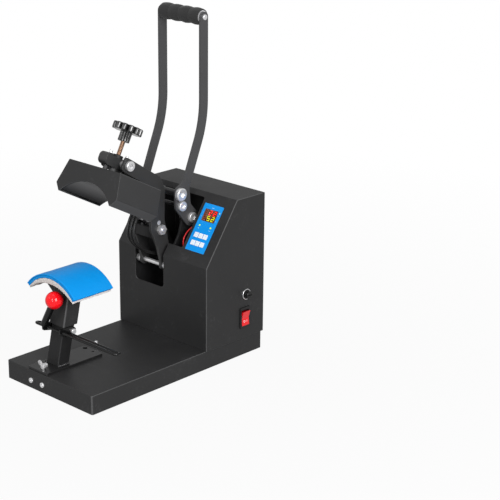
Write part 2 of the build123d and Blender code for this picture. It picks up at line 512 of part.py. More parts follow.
def main_pivot_shaft():
    """Shaft across the frame cheeks with a spacer tube each side of the arm and end nuts."""
    end = FRAME_OUT + PIVOT_END
    shaft = rod_x(-end, end, PIVOT, PIVOT_D)
    shaft += pair(hexagon_x(FRAME_OUT, FRAME_OUT + PIVOT_NUT_T, PIVOT, PIVOT_NUT))
    spacer = tube_x(ARM_OUT + FIT, FRAME_IN, PIVOT, PIVOT_D + 2 * SPACER_WALL, PIVOT_D)
    return Compound([shaft, spacer, mirror(spacer, about=Plane.YZ)])


def fulcrum_bolts():
    """Lever pivot bolt with socket head, washer and nut on each side."""
    head_from = LEVER_OUT + 2 * FIT
    bolt = rod_x(FRAME_IN - FULCRUM_NUT_T - FULCRUM_END, head_from, FULCRUM, FULCRUM_D)
    head = rod_x(head_from, head_from + FULCRUM_HEAD_T, FULCRUM, FULCRUM_HEAD_D)
    head = fillet(head.edges().sort_by(Axis.X)[-1], 1.0)
    face = head_from + FULCRUM_HEAD_T
    head -= hexagon_x(face - FULCRUM_SOCKET_DEEP, face, FULCRUM, FULCRUM_SOCKET)
    nut = hexagon_x(FRAME_IN - FULCRUM_NUT_T, FRAME_IN, FULCRUM, FULCRUM_NUT)
    washer = rod_x(FRAME_OUT, LEVER_IN - 2 * FIT, FULCRUM, FULCRUM_HEAD_D)
    bolt = bolt + head + nut + washer
    return Compound([bolt, mirror(bolt, about=Plane.YZ)])


# ================================================================ power fittings
def fuse_holder():
    at = (FUSE_Y, FUSE_Z)
    ring = rod_x(SIDE, SIDE + FUSE_RING_T, at, FUSE_RING_D)
    ring = fillet(ring.edges().sort_by(Axis.X)[-1], 1.0)
    body = ring + rod_x(SIDE - FUSE_BODY_L, SIDE, at, FUSE_BODY_D)
    body += hexagon_x(SIDE - SHEET - FUSE_NUT_T, SIDE - SHEET, at, FUSE_NUT)
    return body - rod_x(SIDE - FUSE_BODY_L + FUSE_FLOOR, SIDE + FUSE_RING_T, at, FUSE_BODY_D - 2 * FUSE_WALL)


def fuse_cap():
    at = (FUSE_Y, FUSE_Z)
    face = SIDE + FUSE_RING_T
    cap = rod_x(face, face + FUSE_CAP_L, at, FUSE_CAP_D)
    cap = fillet(cap.edges().sort_by(Axis.X)[-1], HEAD_EASE)
    cap += rod_x(face - FUSE_CAP_PLUG, face, at, FUSE_BODY_D - 2 * FUSE_WALL - 2 * FIT)
    half_l, half_w, top = FUSE_SLOT_L / 2, FUSE_SLOT_W / 2, face + FUSE_CAP_L
    return cap - box(top - FUSE_SLOT_DEEP, top, FUSE_Y - half_l, FUSE_Y + half_l, FUSE_Z - half_w, FUSE_Z + half_w)


def rocker_bezel():
    y, z = ROCKER_Y, ROCKER_Z
    bezel = box(SIDE, SIDE + ROCKER_T, y - ROCKER_W / 2, y + ROCKER_W / 2, z - ROCKER_H / 2, z + ROCKER_H / 2)
    bezel = fillet(bezel.edges().filter_by(Axis.X), ROCKER_RIM)
    inset = ROCKER_RIM + SEAT_GAP
    bezel += box(SIDE - ROCKER_DEPTH, SIDE, y - ROCKER_W / 2 + inset, y + ROCKER_W / 2 - inset,
                 z - ROCKER_H / 2 + inset, z + ROCKER_H / 2 - inset)
    pocket_w, pocket_h = ROCKER_KEY_W / 2 + ROCKER_SIDE_GAP, ROCKER_KEY_H / 2 + ROCKER_END_GAP
    floor = SIDE - ROCKER_DEPTH + ROCKER_FLOOR
    bezel -= box(floor, SIDE + ROCKER_T, y - pocket_w, y + pocket_w, z - pocket_h, z + pocket_h)
    return bezel - rod_y(ROCKER_AXIS_X, y - ROCKER_W / 2, y + ROCKER_W / 2, z, ROCKER_PIN_D + 2 * FIT)


def rocker_key():
    """Two-faced rocker that tilts on a stub pin at each side; drawn with its lower end in."""
    y, z = ROCKER_Y, ROCKER_Z
    half_w, half_h = ROCKER_KEY_W / 2, ROCKER_KEY_H / 2
    root, high = ROCKER_AXIS_X - ROCKER_ROOT, SIDE + ROCKER_T + ROCKER_RISE
    corners = [(root, -ROCKER_ROOT_HALF), (root, ROCKER_ROOT_HALF), (high, half_h), (SIDE + ROCKER_T, 0),
               (high, -half_h)]
    face = make_face(Polyline(*corners, close=True))
    plane = Plane(origin=(0, y - half_w, z), x_dir=(1, 0, 0), z_dir=(0, -1, 0))
    key = extrude(plane * face, amount=-ROCKER_KEY_W)
    key += rod_y(ROCKER_AXIS_X, y - half_w - ROCKER_PIN_L, y + half_w + ROCKER_PIN_L, z, ROCKER_PIN_D)
    return Pos(ROCKER_AXIS_X, 0, z) * Rot(0, ROCKER_TILT, 0) * Pos(-ROCKER_AXIS_X, 0, -z) * key


def power_inlet():
    """Panel socket for a detachable mains lead, with its three flat pins."""
    x, z = INLET_X, INLET_Z
    y = HOUSING_REAR
    half_w, half_h, face = INLET_W / 2, INLET_H / 2, y + INLET_FLANGE_T
    flange = box(x - half_w, x + half_w, y, face, z - half_h, z + half_h)
    flange = fillet(flange.edges().filter_by(Axis.Y), INLET_RADIUS)
    half_w -= INLET_EAR + SEAT_GAP
    half_h -= INLET_LIP + SEAT_GAP
    body = box(x - half_w, x + half_w, y - INLET_D, y, z - half_h, z + half_h)
    floor = y - INLET_D + SOCKET_FLOOR
    socket = box(x - SOCKET_HALF_W, x + SOCKET_HALF_W, floor, face, z - SOCKET_HALF_H, z + SOCKET_HALF_H)
    inlet = flange + body - socket
    for dx, dz in SOCKET_PINS:
        inlet += box(x + dx - PIN_HALF_W, x + dx + PIN_HALF_W, floor - PIN_ROOT, y - PIN_BACK,
                     z + dz - PIN_HALF_H, z + dz + PIN_HALF_H)
    return inlet


def power_relay():
    """Solid-state relay screwed to the base top inside the housing."""
    rear, top = RELAY_FRONT + RELAY_L, BASE_TOP + RELAY_T
    relay = box(RELAY_LEFT, RELAY_RIGHT, RELAY_FRONT, rear, BASE_TOP, top)
    relay = fillet(relay.edges().filter_by(Axis.Z), 2 * FOLD_RADIUS)
    for x in (RELAY_LEFT + RELAY_POST_X, RELAY_RIGHT - RELAY_POST_X):
        for y in (RELAY_FRONT + RELAY_POST_Y, rear - RELAY_POST_Y):
            relay += rod_z(x, y, top, top + RELAY_POST_H, RELAY_POST_D)
    return relay


# ================================================================ controls
def slope_box(x, s, width, height, low, high):
    """Box on the slope centred at (x, s), from `low` to `high` above its surface."""
    sketch = Pos(x, s) * Rectangle(width, height)
    return on_slope(Pos(0, 0, low) * extrude(sketch, amount=high - low))


def key_places():
    for row in range(2):
        for column in range(3):
            x = OVERLAY_X + (column - 1) * KEY_PITCH_X
            yield x, OVERLAY_LOW + KEY_ROW_LOW + KEY_H / 2 + row * KEY_ROW_PITCH


def led_places():
    return [(OVERLAY_X + side * LED_HALF, OVERLAY_LOW + LED_UP) for side in (-1, 1)]


def controller_case():
    s = OVERLAY_LOW + OVERLAY_H / 2
    case = slope_box(OVERLAY_X, s, CASE_W, CASE_H, -CASE_D, 0)
    for x, key_s in key_places():
        pocket = KEY_DEPTH + KEY_TRAVEL + 2 * KEY_GAP
        case -= slope_box(x, key_s, KEY_W + 2 * KEY_GAP, KEY_H + 2 * KEY_GAP, -pocket, 0)
    for x, led_s in led_places():
        case -= on_slope(Pos(x, led_s, -LED_DEEP / 2) * Cylinder(LED_D / 2, LED_DEEP))
    return case


def overlay():
    s = OVERLAY_LOW + OVERLAY_H / 2
    sketch = Pos(OVERLAY_X, s) * RectangleRounded(OVERLAY_W, OVERLAY_H, OVERLAY_RADIUS)
    for x, key_s in key_places():
        sketch -= Pos(x, key_s) * Rectangle(KEY_W + 2 * KEY_GAP, KEY_H + 2 * KEY_GAP)
    for x, led_s in led_places():
        sketch -= Pos(x, led_s) * Circle(LED_D / 2)
    sketch -= Pos(OVERLAY_X, OVERLAY_LOW + DISPLAY_UP) * Rectangle(DISPLAY_W, DISPLAY_H)
    return on_slope(extrude(sketch, amount=OVERLAY_T))


def display_window():
    s = OVERLAY_LOW + DISPLAY_UP
    return slope_box(OVERLAY_X, s, DISPLAY_W - SEAT_GAP, DISPLAY_H - SEAT_GAP, 0, DISPLAY_T)


def status_leds():
    high = LED_PROUD + OVERLAY_T
    lights = [on_slope(Pos(x, s, (high - LED_DEEP) / 2) * Cylinder(LED_D / 2 - FIT, LED_DEEP + high))
              for x, s in led_places()]
    return Compound(lights)


def key(x, s):
    top = OVERLAY_T + KEY_PROUD
    return slope_box(x, s, KEY_W, KEY_H, -KEY_DEPTH, top)


# ================================================================ leads


def arm_lead_route():
    """From just off the cover's rear wall, out square to it and down in a bow to the housing."""
    wall = COVER_FRONT + COVER_L + LEAD_WALL_GAP
    ends = [(wall, COVER_TOP - LEAD_EXIT_DOWN), (wall + LEAD_STRAIGHT, COVER_TOP - LEAD_EXIT_DOWN)]
    opened = [turned_point(turned_point(p, YOKE, YOKE_TILT), PIVOT, -ARM_SWING) for p in ends]
    return [*opened, *LEAD_BOW, LEAD_ENTRY]


def arc_radii(points):
    """Largest tangent radius at each inner point that its two runs allow."""
    radii = []
    for before, here, after in zip(points, points[1:], points[2:]):
        a, b = Vector(*here) - Vector(*before), Vector(*after) - Vector(*here)
        turn = math.radians(a.get_angle(b))
        radii.append(TANGENT_SHARE * min(a.length, b.length) / math.tan(turn / 2))
    return radii


def leads(route):
    """Parallel leads on one route of (y, z) points, side by side across the mechanism."""
    tubes = []
    for n in range(LEAD_COUNT):
        x = LEAD_X + (n - (LEAD_COUNT - 1) / 2) * LEAD_PITCH
        points = [(x, y, z) for y, z in route]
        tubes.append(bent_wire(points, arc_radii(points), LEAD_D))
    return Compound(tubes)


def signal_wire():
    """Thin wire that bows over the lower right corner of the hatch, up behind the overlay."""
    x0 = MECH_X + HATCH_HALF - SIGNAL_WIRE_D - SIGNAL_EDGE
    depth = -SHEET - SIGNAL_WIRE_D / 2 - SIGNAL_GAP
    points = [SLOPE.from_local_coords(Vector(x0 + x, HATCH_LOW + s, depth)) for x, s in SIGNAL_ROUTE]
    points = [tuple(p) for p in points]
    return bent_wire(points, arc_radii(points), SIGNAL_WIRE_D)


# ================================================================ lever
def lever_edges():
    """Corners of a lever bar's straight and slanted edges, (y, z) left and right at the bend."""
    t = math.tan(math.radians(LEVER_SLANT))
    shift = LEVER_W / 2 * math.tan(math.radians(LEVER_SLANT / 2))
    left = (GRIP_Y - LEVER_W / 2, LEVER_BEND_Z + shift)
    right = (GRIP_Y + LEVER_W / 2, LEVER_BEND_Z - shift)
    return t, left, right


def lever_bar():
    """Flat bar from the grip down to the plate that carries both shafts and the fulcrum."""
    slope, left, right = lever_edges()
    top = GRIP_Z + LEVER_W / 2
    flare_z, waist_z = CRANK[1] + LEVER_FLARE, CRANK[1] + LEVER_WAIST
    dy, dz, back_r = PLATE_BACK
    corners = [
        (right[0], top, LEVER_W / 2 - FIT), (left[0], top, LEVER_W / 2 - FIT),
        (*left, LEVER_BEND_R - LEVER_W / 2), (left[0] - (left[1] - flare_z) * slope, flare_z, 10),
        (CRANK[0] - PLATE_FRONT, CRANK[1] + PLATE_FRONT, 8), (CRANK[0] - PLATE_FRONT, TIE[1] - 3, 12),
        *[(FULCRUM[0] + y, FULCRUM[1] + z, radius) for y, z, radius in PLATE_LOW],
        (TIE[0] + dy, TIE[1] + dz, back_r),
        (right[0] - (right[1] - waist_z) * slope, waist_z, 14), (*right, LEVER_BEND_R + LEVER_W / 2),
    ]
    bar = side_plate(corners, LEVER_IN, LEVER_OUT)
    bar -= rod_x(LEVER_IN, LEVER_OUT, FULCRUM, FULCRUM_D + 2 * FIT)
    bar -= rod_x(LEVER_IN, LEVER_OUT, CRANK, CRANK_D)
    bar -= rod_x(LEVER_IN, LEVER_OUT, TIE, TIE_D)
    bar -= rod_x(LEVER_IN, LEVER_OUT, (GRIP_Y, GRIP_Z), GRIP_BOLT_D)
    return bar


def bolt_head(at, diameter, thickness, socket):
    head = rod_x(LEVER_OUT, LEVER_OUT + thickness, at, diameter)
    head = fillet(head.edges().sort_by(Axis.X)[-1], thickness * 0.3)
    return head - hexagon_x(LEVER_OUT + thickness * 0.45, LEVER_OUT + thickness, at, socket)


def lever_shafts():
    """Crank shaft with link collars, and the tie shaft, each headed outside both bars."""
    crank = rod_x(-LEVER_OUT, LEVER_OUT, CRANK, CRANK_D)
    crank += pair(bolt_head(CRANK, CRANK_HEAD_D, CRANK_HEAD_T, CRANK_SOCKET))
    crank += pair(rod_x(LINK_IN + LINK_T + 2 * FIT, LEVER_IN, CRANK, CRANK_D + 2 * COLLAR_WALL))
    tie = rod_x(-LEVER_OUT, LEVER_OUT, TIE, TIE_D)
    tie += pair(bolt_head(TIE, TIE_HEAD_D, TIE_HEAD_T, TIE_SOCKET))
    return Compound([crank, tie])


def grip_tube():
    at = (GRIP_Y, GRIP_Z)
    bore = GRIP_TUBE_D - 2 * GRIP_WALL
    tube = tube_x(-LEVER_IN, LEVER_IN, at, GRIP_TUBE_D, bore)
    tube += pair(tube_x(LEVER_IN - GRIP_PLUG, LEVER_IN, at, bore, GRIP_BOLT_D))
    screw = rod_x(LEVER_IN - GRIP_PLUG, LEVER_OUT, at, GRIP_BOLT_D)
    head = rod_x(LEVER_OUT, LEVER_OUT + GRIP_BOLT_PROUD, at, GRIP_BOLT_HEAD)
    screw += fillet(head.edges().sort_by(Axis.X)[-1], HEAD_EASE)
    return Compound([tube, screw, mirror(screw, about=Plane.YZ)])


def foam_grip():
    """Foam sleeve of four finger lobes."""
    half = LEVER_IN - FOAM_GAP
    lobe = 2 * half / FOAM_LOBES
    low, high = FOAM_D / 2 - FOAM_GROOVE, FOAM_D / 2
    bore = GRIP_TUBE_D / 2
    arcs = []
    for n in range(FOAM_LOBES):
        x = -half + n * lobe
        arcs.append(ThreePointArc((x, low), (x + lobe / 2, high), (x + lobe, low)))
    ends = [Line((half, low), (half, bore)), Line((half, bore), (-half, bore)),
            Line((-half, bore), (-half, low))]
    sleeve = revolve(make_face([*arcs, *ends]), Axis.X)
    return Pos(0, GRIP_Y, GRIP_Z) * Rot(90, 0, 0) * sleeve


# ================================================================ toggle link
def pin_in_link(share):
    """Place of the toggle pin in the resting link when the press is closed by `share`."""
    crank = turned_point(CRANK, FULCRUM, LEVER_THROW * share)
    pin = turned_point(TOGGLE_PIN, PIVOT, ARM_SWING * share)
    offset_pin = turned_point((pin[0] - crank[0], pin[1] - crank[1]), (0, 0), -LINK_TURN * share)
    return CRANK[0] + offset_pin[0], CRANK[1] + offset_pin[1]


def toggle_links():
    """Two link plates on the crank shaft, held apart by a block; the lower eye is a slot."""
    places = [pin_in_link(n / LINK_STEPS) for n in range(LINK_STEPS + 1)]
    bore = TOGGLE_PIN_D / 2 + SLOT_PLAY
    slot = make_hull([e for p in places for e in (Pos(*p) * Circle(bore)).edges()])
    rings = [Pos(*p) * Circle(bore + LINK_WALL) for p in places]
    rings.append(Pos(*CRANK) * Circle(CRANK_D / 2 + LINK_WALL))
    blade = make_hull([e for r in rings for e in r.edges()])
    plate = extrude(side_plane(LINK_IN) * (blade - slot), amount=LINK_T)
    plate -= rod_x(LINK_IN, LINK_IN + LINK_T, CRANK, CRANK_D + 2 * FIT)
    block = [c + (t - c) * LINK_BLOCK_SHARE for c, t in zip(CRANK, places[0])]
    return pair(plate) + rod_x(-LINK_IN, LINK_IN, block, LINK_BLOCK_D)


# ================================================================ swing arm
def arm_corners():
    tilt = ARM_TILT
    front_top = along(YOKE_OPEN, tilt, -ARM_AHEAD, ARM_ABOVE)
    front_low = along(YOKE_OPEN, tilt, -ARM_AHEAD, -ARM_BELOW)
    rear_top = along(front_top, tilt, ARM_TOP_LENGTH, 0)
    crook = along(YOKE_OPEN, tilt, ARM_CROOK, -ARM_BELOW)
    y, z = PIVOT
    eye = LEG_EYE_R
    return [
        (*front_top, 4), (*front_low, 7), (*crook, 9), *[(y + dy, z + dz, r) for dy, dz, r in LEG_FRONT],
        (y - eye, z + LEG_EYE_RISE, 14), (y - eye, z - eye, eye - 3 * FIT), (y + eye, z - eye, eye - 3 * FIT),
        *[(y + dy, z + dz, r) for dy, dz, r in LEG_REAR], (*rear_top, 14),
    ]


def arm_plates():
    """Pair of boomerang cheeks: a fork over the head and a leg down to the main pivot."""
    plate = side_plate(arm_corners(), ARM_IN, ARM_OUT)
    plate -= rod_x(ARM_IN, ARM_OUT, PIVOT, PIVOT_D + 2 * FIT)
    plate -= rod_x(ARM_IN, ARM_OUT, YOKE_OPEN, YOKE_SCREW_D + 2 * FIT)
    plate -= rod_x(ARM_IN, ARM_OUT, TOGGLE_PIN, TOGGLE_PIN_D)
    plate -= rod_x(ARM_IN, ARM_OUT, LEG_BOLT, LEG_BOLT_D)
    return Compound([plate, mirror(plate, about=Plane.YZ)])


def arm_web():
    """Folded cross web bolted between the legs."""
    y, z = LEG_BOLT
    top, foot, high, low = y - WEB_AHEAD, y - WEB_FOOT_AHEAD, z + WEB_UP, z - WEB_DOWN
    sheet = side_plate([(top, high, WEB_BEND), (top + WEB_T, high, WEB_BEND), (foot + WEB_T, low, WEB_BEND),
                        (foot, low, WEB_BEND)], -ARM_IN, ARM_IN)
    ear = side_plate([(top + WEB_T / 4, high, WEB_BEND), (y + EAR_TOP_REAR, high, WEB_BEND),
                      (y + EAR_REAR, z + EAR_CHEEK, 3), (y + EAR_REAR, z + EAR_LOW, 3),
                      (foot, low + 1, WEB_BEND)], ARM_IN - WEB_T, ARM_IN)
    ear -= rod_x(ARM_IN - WEB_T, ARM_IN, LEG_BOLT, LEG_BOLT_D)
    return sheet + pair(ear)


def toggle_pin():
    """Pin across the legs that the link hangs on, and the two web bolts."""
    pin = rod_x(-ARM_OUT, ARM_OUT, TOGGLE_PIN, TOGGLE_PIN_D)
    collar = rod_x(LINK_IN + LINK_T + 2 * FIT, ARM_IN - WEB_T, TOGGLE_PIN, TOGGLE_PIN_D + 2 * PIN_COLLAR_WALL)
    pin += pair(collar)
    bolt = rod_x(ARM_IN - WEB_T, ARM_OUT, LEG_BOLT, LEG_BOLT_D)
    bolt += hexagon_x(ARM_OUT, ARM_OUT + LEG_NUT_T, LEG_BOLT, LEG_NUT_D)
    bolt += rod_x(ARM_OUT + LEG_NUT_T, ARM_OUT + LEG_NUT_T + LEG_BOLT_END, LEG_BOLT, LEG_BOLT_D)
    return Compound([pin, bolt, mirror(bolt, about=Plane.YZ)])


def yoke_pivot_bolt():
    """Shoulder screw from each cheek into the yoke beam."""
    outside = ARM_OUT + 2 * FIT
    screw = rod_x(SCREW_D / 2 + YOKE_END_GAP, outside, YOKE, YOKE_SCREW_D)
    screw += rod_x(BEAM_W / 2, ARM_IN - 2 * FIT, YOKE, YOKE_SCREW_D + 2 * YOKE_SHOULDER)
    head = rod_x(outside, outside + YOKE_HEAD_T, YOKE, YOKE_HEAD_D)
    head = fillet(head.edges().sort_by(Axis.X)[-1], HEAD_EASE)
    head -= hexagon_x(outside + YOKE_SOCKET_FLOOR, outside + YOKE_HEAD_T, YOKE, YOKE_SOCKET)
    screw = head_open(screw + head)
    return Compound([screw, mirror(screw, about=Plane.YZ)])


# ================================================================ head
def yoke_beam():
    """Solid bar between the cheeks that carries the pressure nut and guides the studs."""
    f, t = COVER_FRONT, COVER_TOP
    corners = [
        (f + BEAM_FRONT, t + BEAM_LOW, BEAM_NOSE), (f + BEAM_REAR, t + BEAM_LOW, 5),
        (f + BEAM_REAR, t + BEAM_HIGH, 5), (f + BEAM_LUG_END + 2, t + BEAM_HIGH, 1),
        (f + BEAM_LUG_END, t + BEAM_LUG - 1, 1), (f + BEAM_FRONT, t + BEAM_LUG, BEAM_NOSE),
    ]
    beam = side_plate(corners, -BEAM_W / 2, BEAM_W / 2)
    low, high = t + BEAM_LOW, t + BEAM_LUG
    beam -= rod_z(0, f + SCREW_BACK, low, high, SCREW_D + 2 * FIT)
    for back in (STUD_BACK, REAR_STUD_BACK):
        beam -= rod_z(0, f + back, low, high, STUD_D + 2 * FIT)
    beam -= pair(rod_x(SCREW_D / 2 + YOKE_END_GAP, BEAM_W / 2, YOKE, YOKE_SCREW_D))
    return head_open(beam)


def pressure_nut():
    y, z = COVER_FRONT + SCREW_BACK, COVER_TOP + BEAM_HIGH
    nut = rod_z(0, y, z, z + NUT_T, NUT_D)
    nut = fillet(nut.edges().sort_by(Axis.Z)[-1], 1.0)
    return head_open(nut - rod_z(0, y, z, z + NUT_T, SCREW_D + 2 * FIT))


def cover_section(inset):
    """Face of the cover's cross-section, seen from the front, shrunk by `inset`."""
    points = [
        (-COVER_TOP_HALF, 0), (COVER_TOP_HALF, 0), (COVER_WIDE_HALF, -COVER_WIDE_DOWN),
        (COVER_LOW_HALF, -COVER_H), (-COVER_LOW_HALF, -COVER_H), (-COVER_WIDE_HALF, -COVER_WIDE_DOWN),
    ]
    face = make_face(Polyline(*points, close=True))
    return offset(face, amount=-inset, kind=Kind.INTERSECTION) if inset else face


def head_plane(y):
    """Upright plane across the head at y, with X right and Z up from the cover's top."""
    return Plane(origin=(0, y, COVER_TOP), x_dir=(1, 0, 0), z_dir=(0, -1, 0))


def platen_cover():
    """Folded sheet hood, open below, with an arch cut through its front and rear walls."""
    rear = COVER_FRONT + COVER_L
    hood = extrude(head_plane(rear) * cover_section(0), amount=COVER_L)
    hood = fillet(hood.edges().filter_by(Axis.Y).sort_by(Axis.Z)[-4:], FOLD_RADIUS)
    hood -= extrude(head_plane(rear - SHEET) * cover_section(SHEET), amount=COVER_L - 2 * SHEET)
    arch = Pos(0, -ARCH_DOWN) * Circle(ARCH_R)
    hood -= extrude(head_plane(rear) * arch, amount=COVER_L)
    y, z = COVER_FRONT + SCREW_BACK, COVER_TOP
    gap = 2 * FIT
    hood += rod_z(0, y, z, z + BEAM_LOW - gap, SCREW_COLLAR_D)
    hood -= rod_z(0, y, z - SHEET, z + BEAM_LOW, SCREW_D + 2 * FIT)
    for back in (STUD_BACK, REAR_STUD_BACK):
        hood += rod_z(0, COVER_FRONT + back, z, z + BEAM_LOW - gap, STUD_BOSS_D)
        hood -= rod_z(0, COVER_FRONT + back, z - SHEET, z + BEAM_LOW, STUD_D)
    return head_open(hood)


def guide_studs():
    studs = []
    for back in (STUD_BACK, REAR_STUD_BACK):
        y = COVER_FRONT + back
        stud = rod_z(0, y, COVER_TOP - SHEET, COVER_TOP + STUD_TOP, STUD_D)
        stud += rod_z(0, y, COVER_TOP - SHEET - STUD_HEAD_T, COVER_TOP - SHEET, STUD_BOSS_D)
        studs.append(head_open(stud))
    return Compound(studs)


def platen():
    """Curved aluminium platen hung from four standoffs."""
    front = COVER_FRONT + SHEET + PLATEN_END_GAP
    rear = COVER_FRONT + COVER_L - SHEET - PLATEN_END_GAP
    ring = Circle(PLATEN_R + PLATEN_T) - Circle(PLATEN_R)
    reach = 2 * (PLATEN_R + PLATEN_T)
    x, z = reach * math.sin(math.radians(PLATEN_HALF_ANGLE)), reach * math.cos(math.radians(PLATEN_HALF_ANGLE))
    sector = make_face(Polyline((0, 0), (-x, z), (x, z), close=True))
    section = Pos(0, -ARCH_DOWN) * (ring & sector)
    plate = extrude(head_plane(rear) * section, amount=rear - front)
    root = COVER_TOP - ARCH_DOWN + math.sqrt((PLATEN_R + STANDOFF_ROOT) ** 2 - STANDOFF_X ** 2)
    for sx in (-1, 1):
        for y in (front + STANDOFF_INSET, rear - STANDOFF_INSET):
            plate += rod_z(sx * STANDOFF_X, y, root, COVER_TOP - SHEET, STANDOFF_D)
    hollow = Pos(0, -ARCH_DOWN) * Circle(PLATEN_R)
    plate -= extrude(head_plane(rear) * hollow, amount=rear - front)
    return head_open(plate)


def pressure_screw():
    y, z = COVER_FRONT + SCREW_BACK, COVER_TOP
    screw = rod_z(0, y, z - SHEET - SCREW_FLANGE_T, z + SCREW_TOP, SCREW_D)
    under = z - SHEET - 2 * FIT
    screw += rod_z(0, y, under - SCREW_FLANGE_T, under, SCREW_FLANGE_D)
    return head_open(screw)


def star_knob():
    """Fluted hand knob with a hub below it."""
    y, low = COVER_FRONT + SCREW_BACK, COVER_TOP + KNOB_LOW
    disc = rod_z(0, y, low, low + KNOB_T, KNOB_D)
    disc = fillet(disc.edges().filter_by(GeomType.CIRCLE), KNOB_EASE)
    for n in range(KNOB_LOBES):
        a = 2 * math.pi * n / KNOB_LOBES
        r = KNOB_D / 2 + KNOB_FLUTE_OUT
        disc -= rod_z(r * math.cos(a), y + r * math.sin(a), low, low + KNOB_T, KNOB_FLUTE_D)
    knob = disc + rod_z(0, y, low - HUB_H, low, HUB_D)
    knob -= rod_z(0, y, low - HUB_H, COVER_TOP + SCREW_TOP, SCREW_D)
    return head_open(knob)


# ================================================================ pad
def pad_sector(radius):
    a = math.radians(PAD_HALF_ANGLE)
    x, z = 2 * radius * math.sin(a), 2 * radius * math.cos(a)
    return make_face(Polyline((0, 0), (-x, z), (x, z), close=True))


def pad_plane():
    return Plane(origin=(0, PAD_FRONT + PAD_L, PAD_AXIS_Z), x_dir=(1, 0, 0), z_dir=(0, -1, 0))


def silicone_pad():
    ring = Circle(PAD_R) - Circle(PAD_R - SILICONE_T)
    pad = extrude(pad_plane() * (ring & pad_sector(PAD_R)), amount=PAD_L)
    return pad


def core_under():
    """Circle of the core's underside, in the pad plane."""
    return Pos(0, -CORE_DROP) * Circle(CORE_EDGE_R)


def pad_core():
    core = (Circle(CORE_R) & pad_sector(PAD_R)) - core_under()
    return extrude(pad_plane() * core, amount=PAD_L)


def post_plane():
    """Plane at the post's foot, its Z up along the leaning post and its Y to the rear."""
    return Plane(origin=(0, POST_FRONT, FOOT_TOP), x_dir=(1, 0, 0), z_dir=(0, POST_SIN, POST_COS))


def between_levels(sketch, low, high):
    """Prism along the post, cut level at two heights."""
    reach = high - low + POST_DEPTH * 2
    start = (low - FOOT_TOP) / POST_COS - POST_DEPTH
    prism = post_plane() * (Pos(0, 0, start) * extrude(sketch, amount=reach + POST_DEPTH))
    y0, y1 = -BASE_L, BASE_L
    prism -= box(-BASE_W, BASE_W, y0, y1, low - BASE_L, low)
    return prism - box(-BASE_W, BASE_W, y0, y1, high, high + BASE_L)


def pad_post():
    """Rectangular tube leaning to the rear, with a weld bead along each side of its foot."""
    middle = Pos(0, POST_DEPTH / 2)
    wall = middle * RectangleRounded(POST_W, POST_DEPTH, POST_RADIUS)
    bore = middle * RectangleRounded(POST_W - 2 * POST_WALL, POST_DEPTH - 2 * POST_WALL, POST_BORE_RADIUS)
    tube = between_levels(wall - bore, FOOT_TOP, POST_TOP)
    bead = middle * RectangleRounded(POST_W + 2 * WELD_REACH, POST_DEPTH, POST_RADIUS) - bore
    tube += between_levels(bead, FOOT_TOP, FOOT_TOP + WELD_H)
    return tube - rod_x(-POST_W, POST_W, CLAMP_PIVOT, CLAMP_BOLT_D)


def pad_bracket():
    """Sleeve over the post's top with a rib to each side, cut to the core's underside."""
    wide, deep = POST_W + 2 * BRACKET_SIDE_WALL, POST_DEPTH + 2 * BRACKET_WALL
    outer = Pos(0, POST_DEPTH / 2) * RectangleRounded(wide, deep, BRACKET_RADIUS)
    inner = Pos(0, POST_DEPTH / 2) * RectangleRounded(POST_W + 2 * FIT, POST_DEPTH + 2 * FIT, POST_RADIUS)
    top = PAD_AXIS_Z + CORE_R
    shape = between_levels(outer, BRACKET_LOW, top)
    high, low = CORE_R - RIB_TIP_DOWN, CORE_R - RIB_TIP_DOWN - RIB_TIP_H
    rib = make_face(Polyline((0, CORE_R), (-RIB_HALF, high), (-RIB_HALF, low), (-wide / 2, RIB_ROOT),
                             (wide / 2, RIB_ROOT), (RIB_HALF, low), (RIB_HALF, high), close=True))
    y = post_front_at(top) + RIB_BACK
    ribs = Plane(origin=(0, y, PAD_AXIS_Z), x_dir=(1, 0, 0), z_dir=(0, -1, 0)) * rib
    shape += extrude(ribs, amount=RIB_T)
    shape -= between_levels(inner, BRACKET_LOW - THROUGH, POST_TOP)
    under = Plane(origin=(0, BASE_L, PAD_AXIS_Z), x_dir=(1, 0, 0), z_dir=(0, -1, 0))
    beyond = under * (Rectangle(BASE_W, 2 * top) - core_under())
    return shape - extrude(beyond, amount=BASE_L)


# ================================================================ foot
def foot_plate():
    half = FOOT_W / 2
    plate = box(-half, half, FOOT_FRONT, FOOT_FRONT + FOOT_L, BASE_TOP, FOOT_TOP)
    plate = fillet(plate.edges().filter_by(Axis.Z), FOOT_CORNER)
    plate -= rod_z(*FOOT_HOLE, BASE_TOP, FOOT_TOP, FOOT_HOLE_D)
    plate -= rod_z(*FOOT_PIN_HOLE, BASE_TOP, FOOT_TOP, FOOT_PIN_HOLE_D)
    plate -= rod_z(0, WING_Y, BASE_TOP, FOOT_TOP, WING_D + 2 * FIT)
    return plate


def wing_bolt():
    """Thumb bolt that clamps the foot plate to the base."""
    low = BASE_TOP - SHEET - CHANNEL_T - WING_BELOW
    z, half = FOOT_TOP + FIT, WING_SPAN / 2
    bolt = rod_z(0, WING_Y, low, z + WING_HUB_H / 2, WING_D)
    bolt += rod_z(0, WING_Y, z, z + WING_HUB_H, WING_HUB_D)
    side = [(3, 1, 1), (half - 1, WING_ROOT_Z, 3), (half, WING_H, 3), (half - WING_TIP_W, WING_H, 3),
            (2, WING_CROTCH_Z, 3)]
    wing = [(x, z + up, r) for x, up, r in side] + [(-x, z + up, r) for x, up, r in side[::-1]]
    plane = Plane(origin=(0, WING_Y + WING_T / 2, 0), x_dir=(1, 0, 0), z_dir=(0, -1, 0))
    return bolt + extrude(plane * outline(wing), amount=WING_T)


